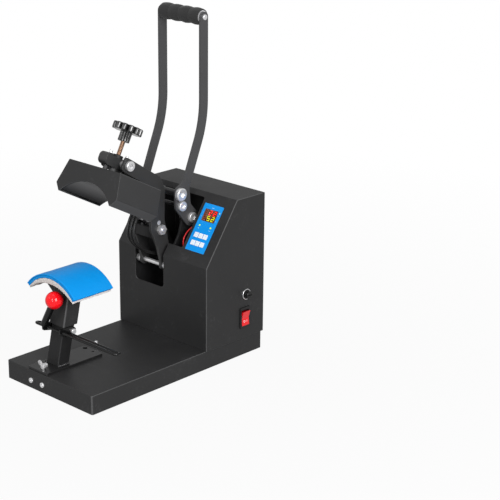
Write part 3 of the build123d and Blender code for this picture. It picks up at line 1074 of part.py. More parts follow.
# ================================================================ cap clamp
def clamp_pivot_bolt():
    """Bolt across the post with a bush each side, under the clamp's arms and its spring."""
    outside = CLAMP_ARM_IN + CLAMP_ARM_T + 2 * FIT
    spindle = SPRING_TURNS * SPRING_WIRE + SPRING_SPARE
    bolt = rod_x(-outside, outside, CLAMP_PIVOT, CLAMP_BOLT_D)
    bolt += rod_x(POST_W / 2, CLAMP_ARM_IN - FIT, CLAMP_PIVOT, CLAMP_HEAD_D)
    bolt += rod_x(-CLAMP_ARM_IN + FIT, -POST_W / 2, CLAMP_PIVOT, CLAMP_HEAD_D)
    head = rod_x(outside, outside + CLAMP_HEAD_T, CLAMP_PIVOT, CLAMP_HEAD_D)
    bolt += fillet(head.edges().sort_by(Axis.X)[-1], HEAD_EASE)
    bolt += rod_x(-outside - spindle, -outside, CLAMP_PIVOT, SPRING_D - SPRING_WIRE - 4 * FIT)
    head = rod_x(-outside - spindle - CLAMP_HEAD_T, -outside - spindle, CLAMP_PIVOT, SPRING_D + SPRING_WIRE)
    return bolt + fillet(head.edges().sort_by(Axis.X)[0], HEAD_EASE)


def clamp_arm(forward, side):
    """Flat arm from the pivot to the bail; `forward` is how far it reaches past the bail."""
    y, z = CLAMP_PIVOT
    corners = [
        (y + CLAMP_EYE, z - CLAMP_EYE, 6), (y + CLAMP_EYE, z + CLAMP_NECK, 6),
        (BAIL_BACK + 2, BAIL_Z + CLAMP_NECK, 3), (forward, BAIL_Z + CLAMP_NECK, 3),
        (forward, BAIL_Z - CLAMP_NECK + 1, 3), (BAIL_BACK, BAIL_BACK_Z - CLAMP_NECK, 8), (y - 4, z - CLAMP_EYE, 4),
    ]
    x0 = CLAMP_ARM_IN if side > 0 else -CLAMP_ARM_IN - CLAMP_ARM_T
    arm = side_plate(corners, x0, x0 + CLAMP_ARM_T)
    arm -= rod_x(x0, x0 + CLAMP_ARM_T, CLAMP_PIVOT, CLAMP_BOLT_D + 2 * FIT)
    return arm


def clamp_arms():
    arms = [clamp_arm(BAIL_FRONT - ARM_TOE_RIGHT, 1), clamp_arm(BAIL_FRONT - ARM_TOE_LEFT, -1)]
    wire = rod_x(BAIL_LEFT, BAIL_RIGHT, (BAIL_FRONT, BAIL_Z), BAIL_D)
    return Compound([arm - wire for arm in arms])


def bail_wire():
    """One rod bent into a loop on each side of the post, its ends on the arms' outer faces."""
    bend = (BAIL_BACK - BAIL_FRONT) / 2
    left, right = BAIL_LEFT + BAIL_D / 2, BAIL_RIGHT - BAIL_D / 2
    side = CLAMP_ARM_IN + CLAMP_ARM_T
    points = [(-side, BAIL_BACK, BAIL_BACK_Z), (left, BAIL_BACK, BAIL_BACK_Z), (left, BAIL_FRONT, BAIL_Z),
              (right, BAIL_FRONT, BAIL_Z), (right, BAIL_BACK, BAIL_BACK_Z), (side, BAIL_BACK, BAIL_BACK_Z)]
    return bent_wire(points, [bend - FIT / 2] * 4, BAIL_D)


def clamp_rod():
    """Handle rod welded over the left arm and the bail, its top set into the ball."""
    foot, top = Vector(*ROD_FOOT), Vector(*BALL_AT)
    direction = (top - foot).normalized()
    rod = extrude(Plane(origin=foot, z_dir=direction) * Circle(ROD_D / 2), amount=(top - foot).length)
    rod -= clamp_arms()
    return rod - bail_wire()


def clamp_ball():
    return Pos(*BALL_AT) * Sphere(BALL_D / 2) - clamp_rod()


def tangent_place(centre, radius, end, side):
    """Place on a circle where the tangent through `end` touches it; `side` picks which of the two."""
    reach = math.hypot(end[0] - centre[0], end[1] - centre[1])
    turn = math.atan2(end[1] - centre[1], end[0] - centre[0]) + side * math.acos(radius / reach)
    return centre[0] + radius * math.cos(turn), centre[1] + radius * math.sin(turn)


def clamp_spring():
    """Torsion spring outside the left arm, its legs above and below the bail."""
    y, z = CLAMP_PIVOT
    x0 = -CLAMP_ARM_IN - CLAMP_ARM_T - SPRING_ARM_GAP - SPRING_WIRE / 2
    pitch = SPRING_WIRE * SPRING_OVERLAP
    spring = Pos(x0, y, z) * Rot(0, 90, 0) * Torus(SPRING_D / 2, SPRING_WIRE / 2)
    for n in range(1, SPRING_TURNS):
        spring += Pos(x0 - n * pitch, y, z) * Rot(0, 90, 0) * Torus(SPRING_D / 2, SPRING_WIRE / 2)
    above = BAIL_BACK_Z + BAIL_D / 2 + SPRING_WIRE
    below = BAIL_BACK_Z - BAIL_D / 2 - SPRING_WIRE
    ends = [(0, -1, BAIL_BACK + UPPER_LEG[0], above + UPPER_LEG[1]),
            (SPRING_TURNS - 1, 1, BAIL_BACK + LOWER_LEG, below)]
    for n, side, end_y, end_z in ends:
        start_y, start_z = tangent_place(CLAMP_PIVOT, SPRING_D / 2, (end_y, end_z), side)
        start, end = Vector(x0 - n * pitch, start_y, start_z), Vector(x0 - n * pitch, end_y, end_z)
        start -= (end - start).normalized() * SPRING_WIRE / 2
        leg = Plane(origin=start, z_dir=end - start) * Circle(SPRING_WIRE / 2)
        spring += extrude(leg, amount=(end - start).length)
    return spring


# ================================================================ write every piece
save("base_pan", base_pan())
save("bottom_plate", bottom_plate())
save("stand_channel", stand_channel(), mech=True)
save("base_fasteners", base_fasteners(), mech=True)
save("housing_shell", housing_shell())
save("rear_panel", rear_panel())
save("panel_screws", panel_screws())
save("frame_plate_right", frame_plate(), mech=True)
save("frame_plate_left", mirror(frame_plate(), about=Plane.YZ), mech=True)
save("frame_tie", frame_tie(), mech=True)
save("main_pivot_shaft", main_pivot_shaft(), mech=True)
save("fulcrum_bolts", fulcrum_bolts(), mech=True)
save("fuse_holder", fuse_holder())
save("fuse_cap", fuse_cap())
save("rocker_bezel", rocker_bezel())
save("rocker_key", rocker_key())
save("power_inlet", power_inlet())
save("power_relay", power_relay())
save("controller_case", controller_case())
save("overlay", overlay())
save("display_window", display_window())
save("status_leds", status_leds())
for number, place in enumerate(key_places(), 1):
    save(f"key_{number}", key(*place))
save("arm_leads", leads(arm_lead_route()), mech=True)
save("housing_leads", leads(INNER_LEAD_ROUTE), mech=True)
save("signal_wire", signal_wire())
save("lever_bar_right", lever_bar(), mech=True)
save("lever_bar_left", mirror(lever_bar(), about=Plane.YZ), mech=True)
save("lever_shafts", lever_shafts(), mech=True)
save("grip_tube", grip_tube(), mech=True)
save("foam_grip", foam_grip(), mech=True)
save("toggle_links", toggle_links(), mech=True)
save("arm_plates", arm_plates(), mech=True)
save("arm_web", arm_web(), mech=True)
save("toggle_pin", toggle_pin(), mech=True)
save("yoke_pivot_bolt", yoke_pivot_bolt(), mech=True)
save("yoke_beam", yoke_beam(), mech=True)
save("pressure_nut", pressure_nut(), mech=True)
save("platen_cover", platen_cover(), mech=True)
save("guide_studs", guide_studs(), mech=True)
save("platen", platen(), mech=True)
save("pressure_screw", pressure_screw(), mech=True)
save("star_knob", star_knob(), mech=True)
save("silicone_pad", silicone_pad(), mech=True)
save("pad_core", pad_core(), mech=True)
save("pad_post", pad_post(), mech=True)
save("pad_bracket", pad_bracket(), mech=True)
save("foot_plate", foot_plate(), mech=True)
save("wing_bolt", wing_bolt(), mech=True)
save("clamp_pivot_bolt", clamp_pivot_bolt(), mech=True)
save("clamp_arms", clamp_arms(), mech=True)
save("bail_wire", bail_wire(), mech=True)
save("clamp_rod", clamp_rod(), mech=True)
save("clamp_ball", clamp_ball(), mech=True)
save("clamp_spring", clamp_spring(), mech=True)
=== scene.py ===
"""Finishes, soft parts, leads, threads and lit display of a cap heat press.

The press stands on its base in metres, +Z up, +Y to its rear panel, +X to the side with the switch.
"""
import json
import math

import bmesh
import bpy
import numpy as np
from bpy.props import FloatProperty, FloatVectorProperty, IntProperty, PointerProperty
from mathutils import Matrix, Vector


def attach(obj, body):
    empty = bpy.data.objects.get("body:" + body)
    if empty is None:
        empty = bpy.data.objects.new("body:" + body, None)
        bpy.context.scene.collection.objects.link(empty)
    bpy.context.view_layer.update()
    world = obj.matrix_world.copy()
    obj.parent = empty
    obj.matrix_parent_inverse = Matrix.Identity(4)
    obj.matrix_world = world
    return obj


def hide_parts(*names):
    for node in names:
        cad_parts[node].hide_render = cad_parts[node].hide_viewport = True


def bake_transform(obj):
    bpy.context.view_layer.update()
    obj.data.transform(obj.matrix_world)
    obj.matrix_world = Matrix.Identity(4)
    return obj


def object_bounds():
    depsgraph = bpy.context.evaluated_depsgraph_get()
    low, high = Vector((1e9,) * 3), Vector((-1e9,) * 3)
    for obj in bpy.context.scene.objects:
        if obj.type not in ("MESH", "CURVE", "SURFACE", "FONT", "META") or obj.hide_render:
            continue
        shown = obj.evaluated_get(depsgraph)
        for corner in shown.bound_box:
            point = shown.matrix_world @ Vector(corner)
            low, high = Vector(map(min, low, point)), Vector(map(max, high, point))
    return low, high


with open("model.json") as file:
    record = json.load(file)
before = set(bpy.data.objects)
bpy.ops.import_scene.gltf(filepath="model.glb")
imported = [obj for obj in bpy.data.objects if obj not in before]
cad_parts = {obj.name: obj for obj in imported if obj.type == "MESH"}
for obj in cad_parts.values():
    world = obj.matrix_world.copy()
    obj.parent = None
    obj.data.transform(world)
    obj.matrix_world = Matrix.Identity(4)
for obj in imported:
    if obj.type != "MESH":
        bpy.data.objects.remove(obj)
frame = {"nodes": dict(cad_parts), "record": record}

bl_info = {
    "name": "Cap heat press",
    "version": (1, 0, 0),
    "blender": (4, 5, 0),
    "location": "3D View > Sidebar > Cap press",
    "description": "Finishes and detailed pieces of a clamshell cap heat press",
    "category": "Object",
}

CAD_BOX = [[float(v) for v in corner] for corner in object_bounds()]
JOINTS = {j["name"]: j for j in frame["record"]["behaviour"]["joints"]}

# ---------------------------------------------------------------- places on the press
RIGHT = np.array([1.0, 0, 0])
MECH_X = -0.031    # centre plane of the mechanism
PAD_AXIS_Z, PAD_FRONT, PAD_LENGTH = 0.1155, -0.165, 0.085
SLOPE_FOOT = np.array([0.0, 0.0585, 0.1839])    # of the housing's sloped front
SLOPE_UP = np.array([0.0, 0.57546, 0.81782])
SLOPE_OUT = np.array([0.0, -0.81782, 0.57546])
GRIP_CENTRE = np.array([MECH_X, 0.143, 0.590])
KNOB_ORIGIN = np.array(JOINTS["knob_turn"]["pos_m"])
KNOB_UP = -np.array(JOINTS["knob_turn"]["axis"])
CLAMP_PIVOT = np.array(JOINTS["clamp_turn"]["pos_m"])
ROCKER_AXIS = np.array(JOINTS["rocker_tilt"]["pos_m"])
FUSE_AT = 0.1565, 0.114
RING_BRIGHT_FROM = 0.0084    # radius outside which the fuse holder is bright
CAP_BRIGHT_FROM = CAD_BOX[1][0] - 0.0016    # where the end of the fuse cap is bright
LEVER_INSIDE = 0.0475    # from the mechanism's centre plane to just inside a lever bar

# ---------------------------------------------------------------- places on the controller's film
FILM_X, FILM_LOW = 0.0675, 0.0228    # its middle, and its lower edge up the slope
FILM_FACE, KEY_FACE = 0.00061, 0.00181    # heights of print above the slope
UNLIT_FACE, LIT_FACE = 0.00111, 0.00114    # and of the digits' bars
KEY_ROW_LOW, KEY_HALF = 0.0104, 0.0043
KEY_PITCH, KEY_ROW_PITCH = 0.0106, 0.0146
DIGIT_COLUMNS = -0.0102, -0.0004, 0.0096
DIGIT_ROWS = 0.0954, 0.0850


# ================================================================ surfaces
def unit(v):
    """Vectors of any array shape, each divided by its own length."""
    v = np.asarray(v, float)
    return v / np.linalg.norm(v, axis=-1, keepdims=True)


def piece(name, points, faces, body, material, uv=None, sharp=35.0, merge=1e-6, outward=True):
    """A mesh object from points (n, 3) and faces, doubled points merged, faces turned outwards,
    smooth except along edges sharper than `sharp` degrees, riding on `body` if one is named.  `uv` is
    its surface map, and `material` names its finish."""
    mesh = bpy.data.meshes.new(name)
    mesh.from_pydata(np.asarray(points, float).tolist(), [], [list(map(int, f)) for f in faces])
    if uv is not None:
        layer = mesh.uv_layers.new(name="Surface")
        loops = np.empty(len(mesh.loops), dtype=np.int64)
        mesh.loops.foreach_get("vertex_index", loops)
        layer.data.foreach_set("uv", np.asarray(uv, float)[loops].ravel())
    work = bmesh.new()
    work.from_mesh(mesh)
    if merge:
        bmesh.ops.remove_doubles(work, verts=work.verts, dist=merge)
        bmesh.ops.dissolve_degenerate(work, edges=work.edges, dist=merge / 10)
    if outward:
        bmesh.ops.recalc_face_normals(work, faces=work.faces)
    work.to_mesh(mesh)
    work.free()
    mesh.shade_smooth()
    mesh.set_sharp_from_angle(angle=math.radians(sharp))
    mesh.materials.append(MATERIALS[material])
    thing = bpy.data.objects.new(name, mesh)
    bpy.context.scene.collection.objects.link(thing)
    if body:
        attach(thing, body)
    return thing


def grid_faces(rows, columns, close_rows=False, close_columns=False):
    """Quads of a rows x columns grid of points, with either way joined end to end."""
    index = np.arange(rows * columns).reshape(rows, columns)
    if close_rows:
        index = np.concatenate([index, index[:1]])
    if close_columns:
        index = np.concatenate([index, index[:, :1]], axis=1)
    quads = np.stack([index[:-1, :-1], index[1:, :-1], index[1:, 1:], index[:-1, 1:]], axis=-1)
    return quads.reshape(-1, 4)


def joined(parts):
    """Several (points, faces) sets as one, each set's faces counted on from the last; what follows the
    faces in a set is left out."""
    points, faces, start = [], [], 0
    for p, f, *_ in parts:
        points.append(np.asarray(p, float).reshape(-1, 3))
        faces.extend((np.asarray(face) + start).tolist() for face in f)
        start += len(points[-1])
    return np.concatenate(points), faces


def turned_profile(radius, height, around, origin, axis, side, swell=None):
    """Surface of revolution: point(i, a) = origin + axis * height[i]
    + (side * cos a + cross(axis, side) * sin a) * radius[i] * swell(i, a)."""
    axis, side = unit(axis), unit(side)
    other = np.cross(axis, side)
    a = np.linspace(0, 2 * np.pi, around, endpoint=False)
    r = np.asarray(radius, float)[:, None] * np.ones(around)
    if swell is not None:
        r = r * swell(np.asarray(height, float)[:, None], a[None, :])
    ring = np.cos(a)[None, :, None] * side + np.sin(a)[None, :, None] * other
    points = origin + axis * np.asarray(height, float)[:, None, None] + ring * r[..., None]
    return points.reshape(-1, 3), grid_faces(len(height), around, close_columns=True)


def smooth_route(route, steps=12):
    """Points along the smooth curve of a NURBS of order 3 through the route's control points."""
    curve = bpy.data.curves.new("route", "CURVE")
    curve.dimensions = "3D"
    curve.resolution_u = steps
    spline = curve.splines.new("NURBS")
    spline.points.add(len(route) - 1)
    spline.points.foreach_set("co", np.column_stack([route, np.ones(len(route))]).ravel())
    spline.order_u = 3
    spline.use_endpoint_u = True
    holder = bpy.data.objects.new("route", curve)
    mesh = bpy.data.meshes.new_from_object(holder)
    points = np.empty(len(mesh.vertices) * 3)
    mesh.vertices.foreach_get("co", points)
    bpy.data.objects.remove(holder)
    bpy.data.curves.remove(curve)
    bpy.data.meshes.remove(mesh)
    return points.reshape(-1, 3)


def swept(path, radius, around, side):
    """Round tube: point(i, a) = path[i] + radius[i] * (cos a * across[i] + sin a * over[i]), where
    across is square to the path and to `side`, and over to both.  Closed by a point at each end.  Its
    surface map is the way along the path and the way round."""
    path = np.asarray(path, float)
    radius = np.broadcast_to(np.asarray(radius, float), len(path))
    tangent = unit(np.gradient(path, axis=0))
    across = unit(np.cross(tangent, side))
    over = np.cross(tangent, across)
    a = np.linspace(0, 2 * np.pi, around, endpoint=False)
    ring = np.cos(a)[None, :, None] * across[:, None] + np.sin(a)[None, :, None] * over[:, None]
    points = path[:, None] + ring * radius[:, None, None]
    start, end = (np.repeat(place, around, 0)[None] for place in (path[:1], path[-1:]))
    points = np.concatenate([start, points, end])
    run = np.concatenate([[0], np.cumsum(np.linalg.norm(np.diff(path, axis=0), axis=1))])
    run = np.concatenate([run[:1], run, run[-1:]])
    uv = np.stack(np.meshgrid(run, a * radius.max(), indexing="ij"), axis=-1)
    return points.reshape(-1, 3), grid_faces(len(path) + 2, around, close_columns=True), uv.reshape(-1, 2)


def drawn_in(inset, edge, length, gap=0.0, bends=6, straights=16):
    """How far each ring of a rounded bar is drawn in, and how far along it lies: `inset` at the end face,
    edge * (1 - sin) round a quarter circle, nothing along the straight, and the same back again.  The
    bar is shorter than `length` by a gap at each end."""
    turn = np.linspace(0, np.pi / 2, bends)
    insets = np.concatenate([[inset], edge * (1 - np.sin(turn))])
    along = np.concatenate([[gap], gap + edge * (1 - np.cos(turn))])
    straight = np.linspace(edge + gap, length - edge - gap, straights + 2)[1:-1]
    insets = np.concatenate([insets, np.zeros(straights), insets[::-1]])
    return insets, np.concatenate([along, straight, length - along[::-1]])


def rounded_slab(inner, outer, centre_z, half_angle, corner, front, length, steps=64):
    """Arched slab about an axis along Y.  Each ring is the outline of a bar bent to the arc: its angle
    and its depth follow a rounded rectangle.  Towards each end the outline shrinks by the corner
    radius, and then to its own middle line, which closes the end."""
    mid, half_t = (inner + outer) / 2, (outer - inner) / 2
    half_w = half_angle * mid

    def ring(inset):
        w, t = half_w - inset, half_t - inset
        c = min(max(corner - inset, 0.0), t)
        flat = np.linspace(-1, 1, steps)
        bend = np.linspace(0, np.pi / 2, 6)
        top = np.column_stack([flat * (w - c), np.full(steps, t)])
        right = np.column_stack([w - c + c * np.sin(bend), t - c + c * np.cos(bend)])
        right_low = np.column_stack([w - c + c * np.cos(bend), -t + c - c * np.sin(bend)])
        upper = np.concatenate([top, right])
        lower = np.concatenate([right_low, np.column_stack([-flat * (w - c), np.full(steps, -t)])])
        left_low = np.column_stack([-w + c - c * np.sin(bend), -t + c - c * np.cos(bend)])
        left = np.column_stack([-w + c - c * np.cos(bend), t - c + c * np.sin(bend)])
        return np.concatenate([upper, lower, left_low, left])

    insets, along = drawn_in(half_t, corner, length)
    rings = np.stack([ring(i) for i in insets])
    angle, depth = rings[..., 0] / mid, mid + rings[..., 1]
    y = np.broadcast_to((front + along)[:, None], angle.shape)
    points = np.stack([MECH_X + depth * np.sin(angle), y, centre_z + depth * np.cos(angle)], axis=-1)
    return points.reshape(-1, 3), grid_faces(*angle.shape, close_columns=True)


def ripple(points, size, depth, seed):
    """Moves points by a sum of a few sine waves of wavelength about `size`, up to `depth`."""
    dice = np.random.default_rng(seed)
    waves = dice.normal(size=(7, 3)) * 2 * np.pi / size
    phase = dice.uniform(0, 2 * np.pi, 7)
    push = dice.normal(size=(7, 3))
    return points + depth / 7 * np.sin(points @ waves.T + phase) @ push


def flat_shape(outline, thickness, origin, right, up):
    """Prism of a convex outline (n, 2) laid on the plane of `right` and `up`."""
    outline = np.asarray(outline, float)
    out = np.cross(right, up)
    base = origin + outline[:, :1] * right + outline[:, 1:] * up
    points = np.concatenate([base, base + out * thickness])
    n = len(outline)
    ring = np.arange(n)
    sides = np.stack([ring, np.roll(ring, -1), np.roll(ring, -1) + n, ring + n], axis=-1)
    return points, [*sides.tolist(), ring[::-1].tolist(), (ring + n).tolist()]


def rectangle(half_w, half_h):
    return np.array([(-half_w, -half_h), (half_w, -half_h), (half_w, half_h), (-half_w, half_h)])


def circle(radius, steps):
    a = np.linspace(0, 2 * np.pi, steps, endpoint=False)
    return np.stack([np.cos(a), np.sin(a)], -1) * radius


def on_slope(outline, thickness, x, up, lift):
    """A prism on the housing's sloped front: `up` from the slope's foot and `lift` above its face."""
    place = SLOPE_FOOT + RIGHT * x + SLOPE_UP * up + SLOPE_OUT * lift
    return flat_shape(outline, thickness, place, RIGHT, SLOPE_UP)


# ================================================================ finishes
NUMBER, VECTOR = "NodeSocketFloat", "NodeSocketVector"
GROUPS, MATERIALS = {}, {}
SCUFF_ROUGHNESS = 0.25    # what a full scuff adds
FOLD_PEAK = 4.0    # brings the highest value of a * (1 - a) to 1 in the painted fold highlight


def feed(tree, socket, value):
    """Links a socket to another one, or sets it to a plain value."""
    if isinstance(value, bpy.types.NodeSocket):
        tree.links.new(value, socket)
    else:
        socket.default_value = value


def node(tree, kind, settings=None, **sockets):
    """A shader node with its settings, and its sockets set or linked by name."""
    made = tree.nodes.new(kind)
    for key, value in (settings or {}).items():
        setattr(made, key, value)
    for key, value in sockets.items():
        feed(tree, made.inputs[key.replace("_", " ")], value)
    return made


def maths(tree, operation, a, b=0.0):
    made = node(tree, "ShaderNodeMath", {"operation": operation})
    feed(tree, made.inputs[0], a)
    feed(tree, made.inputs[1], b)
    return made.outputs[0]


def noise(tree, place, scale, **sockets):
    return node(tree, "ShaderNodeTexNoise", Vector=place, Scale=scale, **sockets).outputs[0]


def ramp(tree, value, low=0.0, high=1.0, first=0.0, last=1.0):
    """A value carried from low..high to first..last, and held there beyond the ends."""
    return node(tree, "ShaderNodeMapRange", Value=value, From_Min=low, From_Max=high, To_Min=first,
                To_Max=last).outputs[0]


def mix(tree, factor, first, second, blend="MIX"):
    """A colour that goes from `first` to `second` with a factor."""
    settings = {"data_type": "RGBA", "blend_type": blend}
    return node(tree, "ShaderNodeMix", settings, Factor=factor, A=first, B=second).outputs["Result"]


def tone_about(tree, value, middle, depth):
    """1 plus `depth` times how far a value is above its middle."""
    off = maths(tree, "SUBTRACT", value, middle)
    return maths(tree, "ADD", maths(tree, "MULTIPLY", off, depth), 1.0)


def effect(name, outputs, **inputs):
    """A node group with a Vector, named inputs with their defaults and named numbers put out, and the
    two sets of sockets inside it."""
    group = bpy.data.node_groups.new(name, "ShaderNodeTree")
    group.interface.new_socket("Vector", in_out="INPUT", socket_type=VECTOR)
    for label, default in inputs.items():
        kind = VECTOR if isinstance(default, tuple) else NUMBER
        group.interface.new_socket(label, in_out="INPUT", socket_type=kind).default_value = default
    for label in outputs:
        group.interface.new_socket(label, in_out="OUTPUT", socket_type=NUMBER)
    start, end = group.nodes.new("NodeGroupInput"), group.nodes.new("NodeGroupOutput")
    return group, start.outputs, end.inputs


def coat_grain():
    """Orange-peel and fine speckle of a baked coat: a height, and a tone about 1."""
    group, start, end = effect("coat grain", ("Height", "Tone"), Grain=1500.0, Mottle=0.15)
    fine = noise(group, start["Vector"], scale=start["Grain"], Detail=2.0)
    peel = noise(group, start["Vector"], scale=260.0, Detail=1.0)
    broad = noise(group, start["Vector"], scale=14.0, Detail=4.0, Roughness=0.6)
    height = maths(group, "ADD", maths(group, "MULTIPLY", fine, 0.6), maths(group, "MULTIPLY", peel, 0.4))
    speckle = maths(group, "ADD", maths(group, "MULTIPLY", fine, 0.5), broad)
    feed(group, end["Height"], height)
    feed(group, end["Tone"], tone_about(group, speckle, 0.75, start["Mottle"]))
    return group


def drawn_grain():
    """Long fine lines of drawn, turned or brushed metal: a height and a tone about 1."""
    group, start, end = effect("drawn grain", ("Height", "Tone"), Along=(40.0, 1400.0, 1400.0), Depth=0.2)
    long = node(group, "ShaderNodeVectorMath", {"operation": "MULTIPLY"})
    feed(group, long.inputs[0], start["Vector"])
    feed(group, long.inputs[1], start["Along"])
    lines = noise(group, long.outputs[0], scale=1.0, Detail=3.0)
    feed(group, end["Height"], lines)
    feed(group, end["Tone"], tone_about(group, lines, 0.5, start["Depth"]))
    return group


def handling():
    """Scattered scuffs and finger smudges: a mask from 0 to 1."""
    group, start, end = effect("handling marks", ("Mask",), Amount=0.3)
    wide = noise(group, start["Vector"], scale=32.0, Detail=6.0, Roughness=0.7, Distortion=0.6)
    thin = noise(group, start["Vector"], scale=210.0, Detail=4.0, Roughness=0.75)
    mask = ramp(group, maths(group, "MULTIPLY", wide, thin), low=0.30, high=0.46)
    feed(group, end["Mask"], maths(group, "MULTIPLY", mask, start["Amount"]))
    return group


def fibres():
    """Matted fibres of felt or foam skin: a height and a tone about 1."""
    group, start, end = effect("matted fibres", ("Height", "Tone"), Size=900.0, Depth=0.3)
    tangle = noise(group, start["Vector"], scale=start["Size"], Detail=6.0, Roughness=0.7,
                   Distortion=1.5)
    cells = node(group, "ShaderNodeTexVoronoi", Vector=start["Vector"], Scale=start["Size"])
    height = maths(group, "ADD", tangle, maths(group, "MULTIPLY", cells.outputs["Distance"], 0.6))
    feed(group, end["Height"], height)
    feed(group, end["Tone"], tone_about(group, height, 0.75, start["Depth"]))
    return group


def braid():
    """Crossing strands of a braided sleeve on a tube's own surface map: a height."""
    group, start, end = effect("braided sleeve", ("Height",), Strands=900.0)
    split = node(group, "ShaderNodeSeparateXYZ", Vector=start["Vector"])
    run = maths(group, "MULTIPLY", split.outputs["X"], start["Strands"])
    wide = maths(group, "MULTIPLY", split.outputs["Y"], start["Strands"])
    one = maths(group, "SINE", maths(group, "ADD", run, wide))
    two = maths(group, "SINE", maths(group, "SUBTRACT", run, wide))
    feed(group, end["Height"], maths(group, "MAXIMUM", one, two))
    return group


def group_node(tree, name, **sockets):
    return node(tree, "ShaderNodeGroup", {"node_tree": GROUPS[name]}, **sockets)


def finish(name, colour, rough, metal=0.0, texture="coat", scale=1500.0, depth=0.15, bump=0.1,
           marks=0.0, mark_colour=(0.35, 0.35, 0.36), specular=0.5, coat=0.0, coat_rough=0.1,
           sheen=0.0, glow=None, glow_strength=0.0, along=(1400.0, 1400.0, 40.0), thick=0.0004,
           edge=0.0, highlight_gain=4.0, second=None):
    """A finish with its colour and roughness varied by a tone, scuffs mixed in, and a bump.

    `edge` is the radius of the softened look of a fold, with a highlight painted along it that makes the
    colour up to the factor after `edge` times as light, most where the X part of its softened normal is
    a half.  `second` is a mask maker, and the colour, metal and roughness that hold where its mask is 1."""
    made = bpy.data.materials.new(name)
    made.use_nodes = True
    tree = made.node_tree
    tree.nodes.clear()
    place = node(tree, "ShaderNodeTexCoord").outputs["UV" if texture == "braid" else "Object"]
    inputs = {"coat": {"Grain": scale, "Mottle": depth}, "drawn": {"Along": along, "Depth": depth},
              "fibres": {"Size": scale, "Depth": depth}, "braid": {"Strands": scale}}[texture]
    grain = group_node(tree, texture, Vector=place, **inputs).outputs
    if texture == "braid":
        tone = ramp(tree, grain["Height"], low=-0.5, high=1.0, first=0.5, last=1.15)
    else:
        tone = grain["Tone"]
    paint = mix(tree, 1.0, (*colour, 1), tone, "MULTIPLY")
    metallic, roughness = metal, maths(tree, "MULTIPLY", tone, rough)
    if marks:
        scuffs = group_node(tree, "handling", Vector=place, Amount=marks).outputs["Mask"]
        paint = mix(tree, scuffs, paint, (*mark_colour, 1))
        roughness = maths(tree, "ADD", roughness, maths(tree, "MULTIPLY", scuffs, SCUFF_ROUGHNESS))
    # painted highlight: the colour is made lighter along folds, most where the softened normal's X part is a
    # half
    if edge:
        soft = node(tree, "ShaderNodeBevel", {"samples": 6}, Radius=edge).outputs[0]
        across = maths(tree, "ABSOLUTE", node(tree, "ShaderNodeSeparateXYZ", Vector=soft).outputs["X"])
        fold = maths(tree, "MULTIPLY", across, maths(tree, "SUBTRACT", 1.0, across))
        fold_highlight = maths(tree, "MULTIPLY", fold, FOLD_PEAK)
        paint = mix(tree, fold_highlight, paint, (*(c * highlight_gain for c in colour), 1))
    if second:
        make_mask, other_colour, other_metal, other_rough = second
        mask = make_mask(tree, place)
        paint = mix(tree, mask, paint, (*other_colour, 1))
        metallic = ramp(tree, mask, first=metal, last=other_metal)
        roughness = ramp(tree, mask, first=rough, last=other_rough)
    surface = node(tree, "ShaderNodeBsdfPrincipled", Base_Color=paint, Roughness=roughness,
                   Metallic=metallic, Specular_IOR_Level=specular, Coat_Weight=coat,
                   Coat_Roughness=coat_rough, Sheen_Weight=sheen)
    if glow:
        surface.inputs["Emission Color"].default_value = (*glow, 1)
        surface.inputs["Emission Strength"].default_value = glow_strength
    if bump:
        raised = node(tree, "ShaderNodeBump", Strength=bump, Distance=thick, Height=grain["Height"])
        if edge:
            feed(tree, raised.inputs["Normal"], soft)
        feed(tree, surface.inputs["Normal"], raised.outputs[0])
    node(tree, "ShaderNodeOutputMaterial", Surface=surface.outputs[0])
    return made


def beyond(axis, middle, limit, over=0.0004):
    """A mask maker: 1 where the place along `axis` is further than `limit` from `middle`."""
    def make(tree, place):
        split = node(tree, "ShaderNodeSeparateXYZ", Vector=place)
        far = maths(tree, "ABSOLUTE", maths(tree, "SUBTRACT", split.outputs[axis], middle))
        return ramp(tree, far, limit, limit + over)
    return make


def around(y, z, limit, over=0.0003):
    """A mask maker: 1 where the distance from an axis along X is more than `limit`."""
    def make(tree, place):
        split = node(tree, "ShaderNodeSeparateXYZ", Vector=place)
        dy = maths(tree, "SUBTRACT", split.outputs["Y"], y)
        dz = maths(tree, "SUBTRACT", split.outputs["Z"], z)
        square = maths(tree, "ADD", maths(tree, "MULTIPLY", dy, dy), maths(tree, "MULTIPLY", dz, dz))
        return ramp(tree, maths(tree, "SQRT", square), limit, limit + over)
    return make


def dress(name, material):
    """Gives a finish to a carried-over solid through its own object slots."""
    solid = frame["nodes"][name]
    if not solid.material_slots:
        raise RuntimeError(f"{name} has no material slot")
    for place in solid.material_slots:
        place.link = "OBJECT"
        place.material = material


# ================================================================ what a user may change
COLOUR = {"subtype": "COLOR", "size": 3, "min": 0, "max": 1}


class PressFinish(bpy.types.PropertyGroup):
    """Colours and gloss of the press."""
    coat: FloatVectorProperty(name="Powder coat", description="Colour of the folded sheet",
                              default=(0.0205, 0.0205, 0.021), **COLOUR)
    lever: FloatVectorProperty(name="Lever paint", description="Colour of the two lever bars",
                               default=(0.052, 0.052, 0.054), **COLOUR)
    silicone: FloatVectorProperty(name="Silicone", description="Colour of the saddle's skin",
                                  default=(0.001, 0.245, 0.65), **COLOUR)
    film: FloatVectorProperty(name="Control film", description="Colour of the film round the keys",
                              default=(0.004, 0.275, 0.76), **COLOUR)
    ball: FloatVectorProperty(name="Ball", description="Colour of the clamp's ball",
                              default=(0.92, 0.004, 0.010), **COLOUR)
    coat_rough: FloatProperty(name="Coat roughness", description="Roughness of the powder coat",
                              default=0.5, min=0, max=1, subtype="FACTOR")


